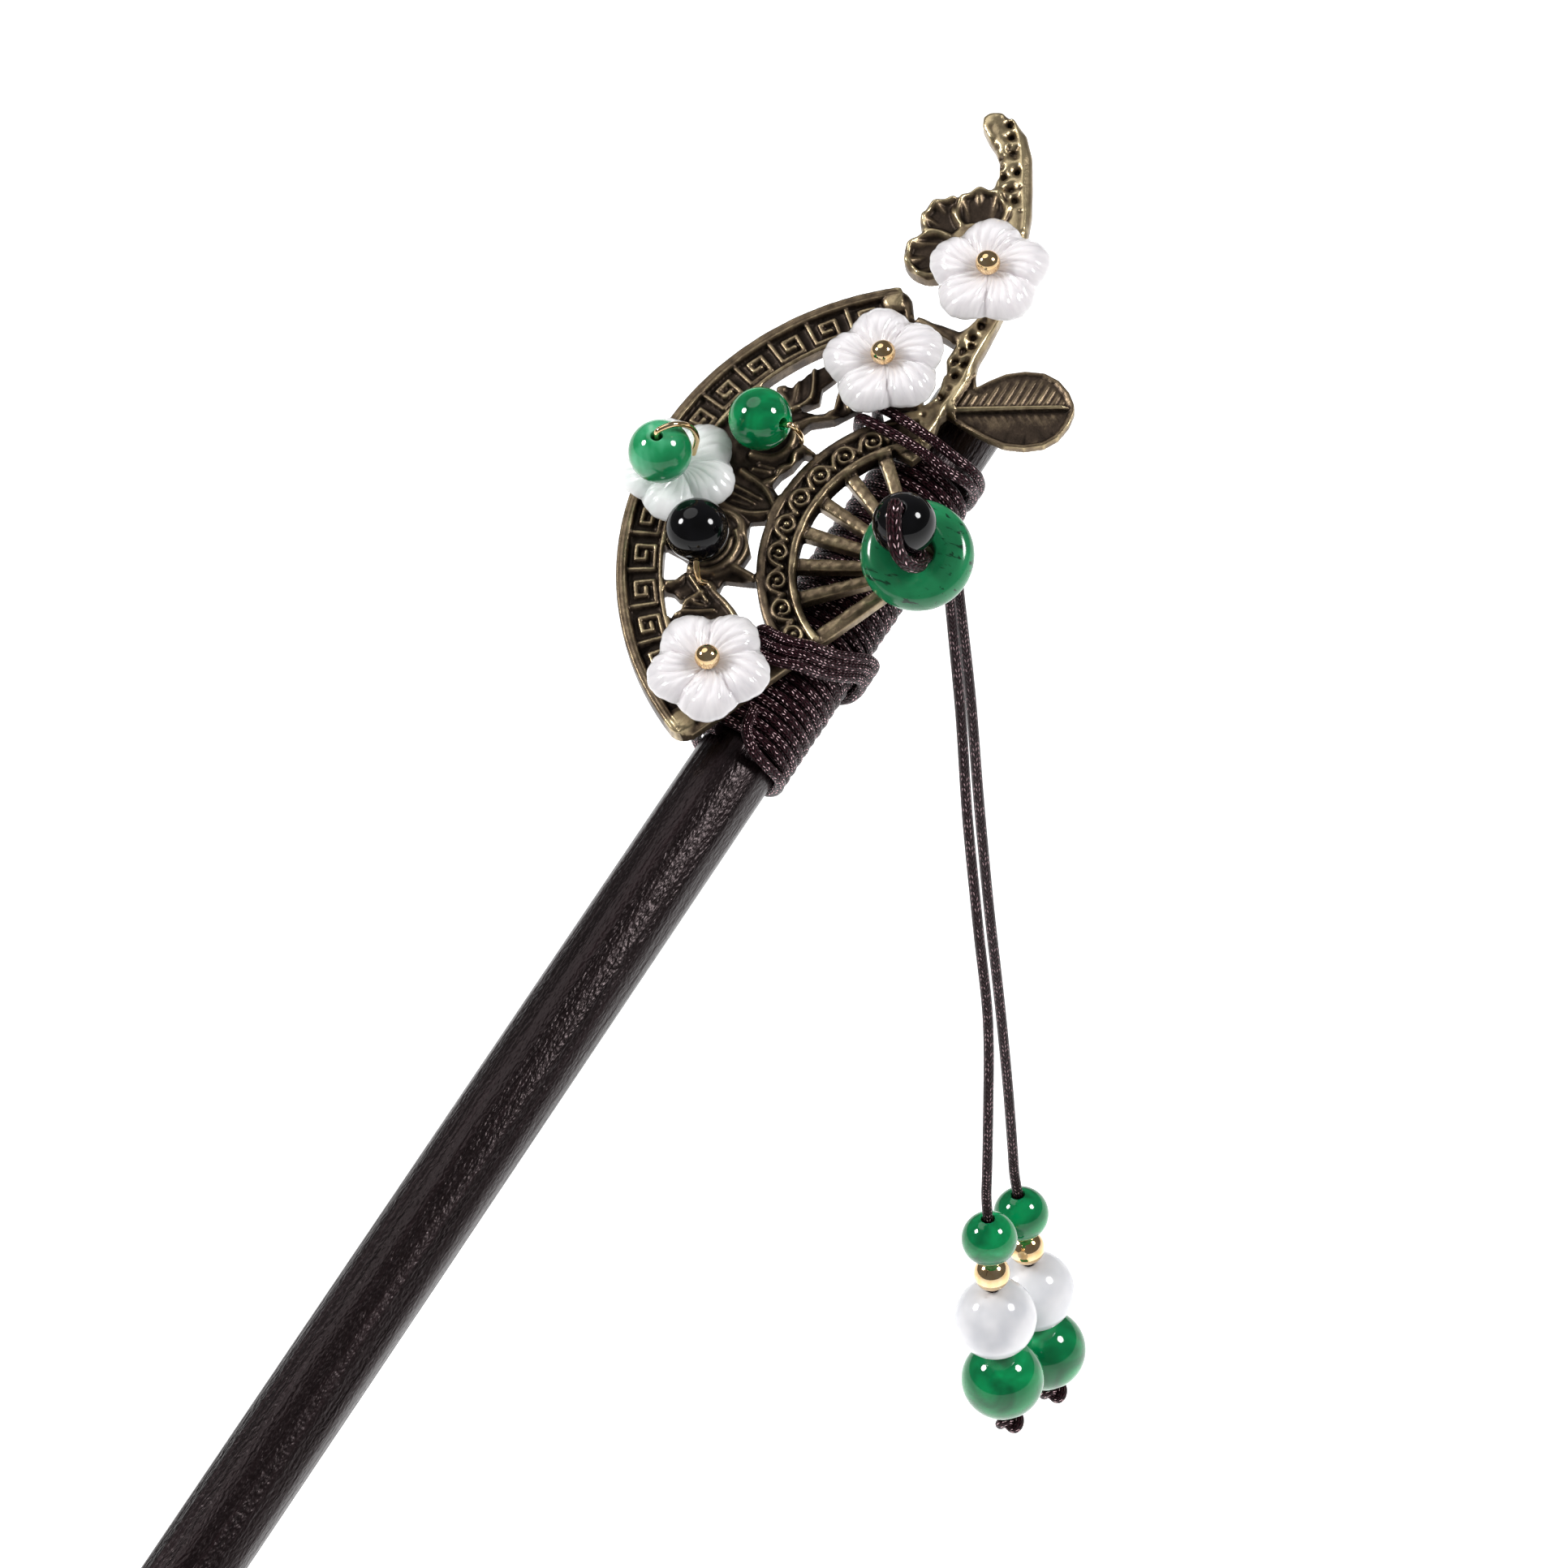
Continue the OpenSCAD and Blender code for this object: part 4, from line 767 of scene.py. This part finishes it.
# Black glass bead on the disc, and the thicker cord that holds both: up through hub, disc and bead,
# back over the bead and down again, with a knot behind the hub.
bead_radius, toggle_radius = 2.1, 0.5


def pick(piece, kind, test):
    """Selects only those points, edges or faces of the piece that pass the test, and opens it for editing."""
    take(piece)
    bpy.ops.object.mode_set(mode="EDIT")
    bpy.ops.mesh.select_mode(type=kind)
    bpy.ops.mesh.select_all(action="DESELECT")
    bpy.ops.object.mode_set(mode="OBJECT")
    mesh = piece.data
    for part in {"VERT": mesh.vertices, "EDGE": mesh.edges, "FACE": mesh.polygons}[kind]:
        part.select = test(part)
    bpy.ops.object.mode_set(mode="EDIT")


def drilled_ball(name, radius, hole):
    """A ball with a hole through it along Z, whose edges are rounded as a tumbled bead's are."""
    bpy.ops.mesh.primitive_uv_sphere_add(segments=64, ring_count=48, radius=radius)
    ball = bpy.context.object
    ball.name = name
    pick(ball, "VERT", lambda point: hypot(point.co.x, point.co.y) < hole)
    bpy.ops.mesh.delete(type="VERT")
    bpy.ops.mesh.select_all(action="DESELECT")
    bpy.ops.mesh.select_non_manifold()
    bpy.ops.object.mode_set(mode="OBJECT")
    for point in ball.data.vertices:
        if point.select:
            flat = Vector((point.co.x, point.co.y)).normalized()*hole
            point.co = (flat.x, flat.y, sqrt(radius**2 - hole**2)*(1 if point.co.z > 0 else -1))
    bpy.ops.object.mode_set(mode="EDIT")
    bpy.ops.mesh.bridge_edge_loops()
    bpy.ops.object.mode_set(mode="OBJECT")

    def on_mouth(line):
        a, b = (ball.data.vertices[i].co for i in line.vertices)
        return max(abs(hypot(a.x, a.y) - hole), abs(hypot(b.x, b.y) - hole), abs(a.z - b.z)) < .001

    pick(ball, "EDGE", on_mouth)
    bpy.ops.mesh.bevel(offset=0.06, segments=3)
    smoothed_off()
    return ball


def aimed(middle, axis):
    """Puts a piece's middle at a place and turns its Z axis along another."""
    turn = Vector((0, 0, 1)).rotation_difference(Vector(axis))
    return Matrix.Translation(middle) @ turn.to_matrix().to_4x4()


def clouded(name, stops, scale, detail, distortion=0.0, **fixed):
    """A finish whose colour drifts in soft clouds through the piece, and the clouds themselves."""
    material, tree, shader, spot = finish(name, **fixed)
    cloud = add(tree, "TexNoise", {"Vector": spot, "Scale": scale, "Detail": detail,
                                   "Distortion": distortion})
    give(shader, Base_Color=add(tree, "ValToRGB", {0: cloud}, stops=stops))
    return material, tree, shader, cloud


def above_hub(x, y, z):
    """A place over or behind the hub, so far to the sides of its middle."""
    return Vector((hub.x + x, hub.y + y, z))


disc_bead_at = disc_at + Vector((-.07, .61, 1.6 + bead_radius))
disc_bead_axis = Vector((-.1, .15, 1)).normalized()
disc_bead = drilled_ball("black_toggle_bead", bead_radius, .6)
disc_bead.data.transform(ON_STICK @ aimed(disc_bead_at, disc_bead_axis))
# Pressed black glass: nearly pure black, with a clear wet gloss.
jet_finish, tree, shader, cloud = clouded(
    "pressed_black_glass", [(0.35, "#030304"), (0.7, "#0c0c0f")], 0.5, 3.0, IOR=1.5, Specular_IOR_Level=0.34)
give(shader, Roughness=add(tree, "Math", {0: cloud, 1: 0.1, 2: 0.03}, operation="MULTIPLY_ADD"))
disc_bead.data.materials.append(jet_finish)
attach(disc_bead, "root")
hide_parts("disc_bead")

# The toggle cord's line: up through one side of the hub, over the bead, down through the other side
under, into_disc, out_of_disc = plate_low - .6, disc_at.z - disc_half, disc_at.z + disc_half
over_bead = [(-.45, .15, 2.85), (-1.1, -.1, 2.65), (-1.8, -.5, 2.05), (-2.35, -.95, 1.1), (-2.4, -1.4, .05),
             (-2, -1.75, -.9), (-1.3, -1.8, -1.75)]
toggle_line = round_line(
    [above_hub(.25, .5, under), above_hub(.25, .5, plate_top), above_hub(.2, .6, into_disc),
     above_hub(-.26, .2, out_of_disc)]
    + [disc_bead_at + disc_bead_axis*bead_radius*share for share in (-.98, -.3, .5, 1.05)]
    + [disc_bead_at + Vector(p) for p in over_bead]
    + [Vector((disc_at.x - .49, disc_at.y - .71, out_of_disc)), above_hub(-.3, -.4, into_disc),
       above_hub(-.25, -.5, plate_top), above_hub(-.25, -.5, under)], 6)
knot_line = [above_hub(0, 0, plate_low - 1.1) + p for p in overhand(.2, 1.3, 73)]
toggle = run_of_cord("toggle_cord_and_knot", [toggle_line, knot_line], toggle_radius)
toggle.data.transform(ON_STICK)
toggle.data.materials.append(cord_finish)
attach(toggle, "root")
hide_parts("toggle_cord")

# Shell flowers. Each is carved and polished from one piece of white shell, with five petals,
# curved grooves from the middle to the edge, and a hole for its pin.
flower_width, flower_thickness = 8.3, 1.5
flower_seat = rim_top + .75 + .1


def carved_flower(name, width, turn, thick, cut_depth=.11):
    """Five-petal flower: its outline, the roll of each petal and the curved grooves are cut in polar
    steps. Its map gives the turn around the middle, and the share of the way to the edge."""
    rings, spokes, hole = 30, 400, 0.34
    bpy.ops.mesh.primitive_grid_add(x_subdivisions=spokes, y_subdivisions=2*rings - 1, size=2)
    flower = bpy.context.object
    flower.name = name
    for vertex in flower.data.vertices:
        # The first rows are the flat back, from the hole outwards, the others the face, back inwards
        angle = (vertex.co.x + 1)*pi
        row = (vertex.co.y + 1)/2*(2*rings - 1)
        under = row < rings
        share = row/(rings - 1) if under else (2*rings - 1 - row)/(rings - 1)
        # Five round petals, whose edges are finely scalloped where the grooves reach them
        petal = 2.5*(angle - radians(turn))
        edge = width/2*(.835 + .165*abs(cos(petal))**1.3)*(.988 + .013*abs(sin(5*petal + 7.5)))
        reach = hole + (edge - hole)*share**.9
        s = reach/edge
        outer = max(0, s - .72)/.28
        # Five uneven grooves to a petal, curved like a wheel's, and a deeper crease between two petals
        curved = angle - radians(turn) + .85*s - .25*s*s
        cut = abs(sin(12.5*curved + .5*sin(5*curved) + .5*sin(3*curved + 1)))
        uneven = .75 + .3*sin(7*curved + 2) + .25*sin(11*curved)*s
        grooves = -cut_depth*thick*uneven*(1 - cut**.6)*min(1, max(0, s - .12)/.3)*(1 - .6*outer)
        crease = -.22*thick*max(0, 1 - abs(cos(petal))/.4)**1.3*min(1, s*1.6)
        body = thick*(.56 + .44*sin(pi*min(1, max(0, (s - .05)/1.12))) - .34*outer**1.6)
        if under:
            z = .08*thick*max(0, s - .6)/.24 if s < .84 else thick*(.08 + .22*(s - .84)/.16)
        else:
            z = max(body + grooves + crease, thick*(.31 + .25*(1 - s)))
        vertex.co = (reach*cos(angle), reach*sin(angle), z)
    for corner in flower.data.uv_layers[0].data:
        corner.uv = (corner.uv.x, abs(2*corner.uv.y - 1))
    bpy.ops.object.mode_set(mode="EDIT")
    bpy.ops.mesh.select_all(action="SELECT")
    bpy.ops.mesh.remove_doubles(threshold=0.001)
    bpy.ops.mesh.select_all(action="DESELECT")
    bpy.ops.mesh.select_mode(type="EDGE")
    bpy.ops.mesh.select_non_manifold()
    bpy.ops.mesh.bridge_edge_loops()
    smoothed_off()
    return flower


# Mother-of-pearl: white and polished, slightly see-through. Its layers show as faint grey and warm
# streaks that run from the middle to the petals' edges.
shell_finish, tree, shader, spot = finish(
    "carved_mother_of_pearl", Roughness=0.18, Subsurface_Weight=0.85, Subsurface_Scale=0.0014,
    Coat_Weight=0.7, Coat_Roughness=0.08)
petal_map = add(tree, "Mapping", {"Vector": add(tree, "TexCoord", out="UV"), "Scale": (60, 2.2, 1)})
fibre = add(tree, "TexNoise", {"Vector": petal_map, "Scale": 1.0, "Detail": 3.0, "Roughness": 0.6})
layer = add(tree, "TexNoise", {"Vector": spot, "Scale": 0.4, "Detail": 3.0, "Distortion": 0.6})
layer = add(tree, "Math", {0: layer, 1: 0.4}, operation="MULTIPLY")
layer = add(tree, "Math", {0: fibre, 1: 0.6, 2: layer}, operation="MULTIPLY_ADD")
shade = add(tree, "ValToRGB", {0: layer}, stops=[(0.32, "#d9d6d9"), (0.5, "#e3dfe1"), (0.7, "#ece8e9")])
give(shader, Base_Color=shade)
# Polished brass with a gold plating: a warm mirror.
gold_finish, tree, shader, smear = clouded("gilt_brass", [(0.3, "#e6bd82"), (0.7, "#f6dcb2")], 1.5, 3.0,
                                           Metallic=1.0)
give(shader, Roughness=add(tree, "Math", {0: smear, 1: 0.1, 2: 0.05}, operation="MULTIPLY_ADD"))

pin_ball_radius = 0.83
for name, place_on_fan, turn in (("top", (.938, .357), 26), ("middle", (.498, .479), 37),
                                 ("lower", (-.695, .393), 65)):
    seat = Vector((*on_fan(*place_on_fan), flower_seat))
    flower = carved_flower(name + "_carved_flower", flower_width, turn, flower_thickness)
    flower.data.transform(ON_STICK @ Matrix.Translation(seat))
    flower.data.materials.append(shell_finish)
    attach(flower, "root")
    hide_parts(name + "_shell_flower")

    # Ball pin of gilt brass. Its wire goes down through the flower to the casting.
    lift = flower_thickness*.62 + pin_ball_radius*.95
    wire_end = rim_top + .1 - (flower_seat + lift)
    bpy.ops.mesh.primitive_uv_sphere_add(segments=48, ring_count=32, radius=pin_ball_radius)
    pin = bpy.context.object
    pin.name = name + "_ball_pin"
    pick(pin, "FACE", lambda face: hypot(face.center.x, face.center.y) < .2 and face.center.z < 0)
    bpy.ops.mesh.extrude_region_move(TRANSFORM_OT_translate={"value": (0, 0, wire_end + pin_ball_radius)})
    smoothed_off()
    pin.data.transform(ON_STICK @ Matrix.Translation(seat + Vector((0, 0, lift))))
    pin.data.materials.append(gold_finish)
    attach(pin, "root")
    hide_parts(name + "_gold_pin")

# Pale flower. It is carved as the shell ones are, from one piece of translucent stone, a little
# smaller and thinner, and lies under the outer green bead, whose wire goes down into it.
pale_seat = Vector((*on_fan(-.124, .86), rim_top + .1))
pale_thickness = 1.4
pale = carved_flower("pale_stone_flower", flower_width*.97, 54, pale_thickness, cut_depth=.1)
pale.data.transform(ON_STICK @ Matrix.Translation(pale_seat))
# Pale jade: milky, faintly green, light goes some way into it.
jade_finish = clouded("pale_jade", [(0.35, "#e9efed"), (0.65, "#f9fbfa")], 0.5, 3.0, Roughness=0.16,
                      IOR=1.6, Subsurface_Weight=0.9, Subsurface_Scale=0.0016)[0]
pale.data.materials.append(jade_finish)
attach(pale, "root")
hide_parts("pale_flower")

# Two green glass beads and a black one beside the fan's edge, and the gilt wires that hold them.
# Each wire goes through its bead, loops over its side and goes down behind it.
# Cloudy green glass: swirls of deep and of leaf green under a wet gloss, and light goes a little way in.
green_finish = clouded(
    "cloudy_green_glass", [(0.28, "#014a28"), (0.46, "#027040"), (0.62, "#058f52"), (0.76, "#22ad70")],
    0.28, 2.5, distortion=1.0, Roughness=0.06, IOR=1.52, Subsurface_Weight=0.35, Subsurface_Scale=0.001)[0]
# The outer bead is of a paler, milkier glass with the same swirls.
milky_green = green_finish.copy()
milky_green.name = "milky_green_glass"
milky_ramp = next(made for made in milky_green.node_tree.nodes if made.type == "VALTORGB").color_ramp
for stop, code in zip(milky_ramp.elements, ("#0a6a3c", "#1f8d57", "#4bab7c", "#a6d4ba")):
    stop.color = paint(code)
bead_z = rim_top + .1 + bead_radius          # the middle of a bead that lies on the rims
outer_at = pale_seat + Vector((-.95, .5, pale_thickness + bead_radius + .25))
inner_at, inner_axis = Vector((*on_fan(.116, .7), bead_z)), Vector((0, -.916, .4)).normalized()
dark_at, dark_axis = Vector((*on_fan(-.319, .664), bead_z)), Vector((-.777, -.417, -.3)).normalized()
# Where each wire runs, from the bead's middle, in shares of its radius
outer_way = [(0, 0, -.6), (0, 0, .3), (0, 0, 1.05), (.15, -.12, 1.26), (.52, -.4, 1.2), (.86, -.65, .75),
             (.98, -.74, 0), (.86, -.66, -.62), (.8, -.62, -.84)]
inner_way = [inner_axis*-1.15, (0, 0, 0), inner_axis*1.05, (.02, -1.16, .52), (.06, -1.33, .3),
             (.14, -1.38, -.1), (.24, -1.33, -.55), (.3, -1.25, -.85)]
dark_way = [dark_axis*-.85, (0, 0, 0), dark_axis*1.05, (-1.1, -.62, -.52), (-1.2, -.75, -.72),
            (-1.1, -.9, -.88)]
for name, middle, axis, way, material, slot, node in (
        ("outer", outer_at, (0, 0, 1), outer_way, milky_green, "green_glass", "outer_green_bead"),
        ("inner", inner_at, inner_axis, inner_way, green_finish, "green_glass", "inner_green_bead"),
        ("black", dark_at, dark_axis, dark_way, jet_finish, "black_glass", "black_bead")):
    bead = drilled_ball(name + "_fan_bead", bead_radius, .4)
    bead.data.transform(ON_STICK @ aimed(middle, axis))
    bead.data.materials.append(material)
    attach(bead, "root")
    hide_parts(node)
    wire_line = round_line([middle + bead_radius*Vector(p) for p in way], 6)
    wire = run_of_cord(name + "_holding_wire", [wire_line], .2)
    wire.data.transform(ON_STICK)
    wire.data.materials.append(gold_finish)
    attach(wire, "root")
    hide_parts(name + "_bead_wire")

# Beads on the hanging cords: drilled glass balls, a small green one, a milky white one and a large
# green one, and a gilt one above the white. They are threaded on the cord and rest on its knot.
# Milk glass: white with a trace of blue, glossy, and slightly see-through at its edge.
milk_finish = clouded("milk_glass", [(0.35, "#dbdce1"), (0.65, "#efeef1")], 0.4, 2.0, Roughness=0.1, IOR=1.5,
                      Subsurface_Weight=0.6, Subsurface_Scale=0.0015, Transmission_Weight=0.12)[0]
for side in ("front", "back"):
    for kind, radius, up, material, slot in (
            ("small_bead", 2.0, 7.8, green_finish, "green_glass"),
            ("gold_bead", 1.3, 4.4, gold_finish, "gold"),
            ("white_bead", 3.0, 0, milk_finish, "milk_glass"),
            ("green_bead", 3.0, -green_bead_drop, green_finish, "green_glass")):
        middle, along = on_cord(side, white_bead_at[side] + up)
        bead = drilled_ball(side + "_strung_" + kind, radius, cord_radius + .11)
        bead.data.transform(MILLIMETRES @ aimed(middle, along))
        bead.data.materials.append(material)
        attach(bead, "root")
        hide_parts(side + "_" + kind)
    route = [MILLIMETRES @ p for p in hanging[side]]

# Floor and light: a plain white table far below, two round soft boxes, one to the left and one to
# the right of the camera, and a large round panel above on the left, in a dim white room.
bpy.ops.mesh.primitive_plane_add(size=12, location=(0, 0, -0.35))
table = bpy.context.object
table.name = "white_table"
# White paper: matt and even, and so bright of itself that the object's shadow stays faint.
paper_finish = finish("white_paper", Base_Color=paint("#ffffff"), Roughness=0.9,
                      Emission_Color=paint("#ffffff"), Emission_Strength=0.85)[0]
table.data.materials.append(paper_finish)
room = bpy.data.worlds.new("white_room")
room.use_nodes = True
room.node_tree.nodes["Background"].inputs[0].default_value = paint("#ffffff")
room.node_tree.nodes["Background"].inputs[1].default_value = 0.14
bpy.context.scene.world = room
target = Vector((0.07, 0.0, 0.0))
for name, side, up, back, distance, size, power in (
        ("left_box", -0.85, 0.45, 0.4, 0.7, 0.19, 3.8), ("right_box", 0.7, 0.45, 0.56, 0.7, 0.22, 3.5),
        ("overhead_panel", -0.35, 0.85, 0.4, 1.4, 1.1, 4.2)):
    light = bpy.data.objects.new(name, bpy.data.lights.new(name, "AREA"))
    bpy.context.scene.collection.objects.link(light)
    way = (camera_right*side + camera_up*up + camera_back*back).normalized()
    light.location = target + way*distance
    light.rotation_euler = way.to_track_quat("Z", "Y").to_euler()
    light.data.shape, light.data.size, light.data.energy = "DISK", size, power
bpy.context.scene.view_settings.view_transform = "Standard"
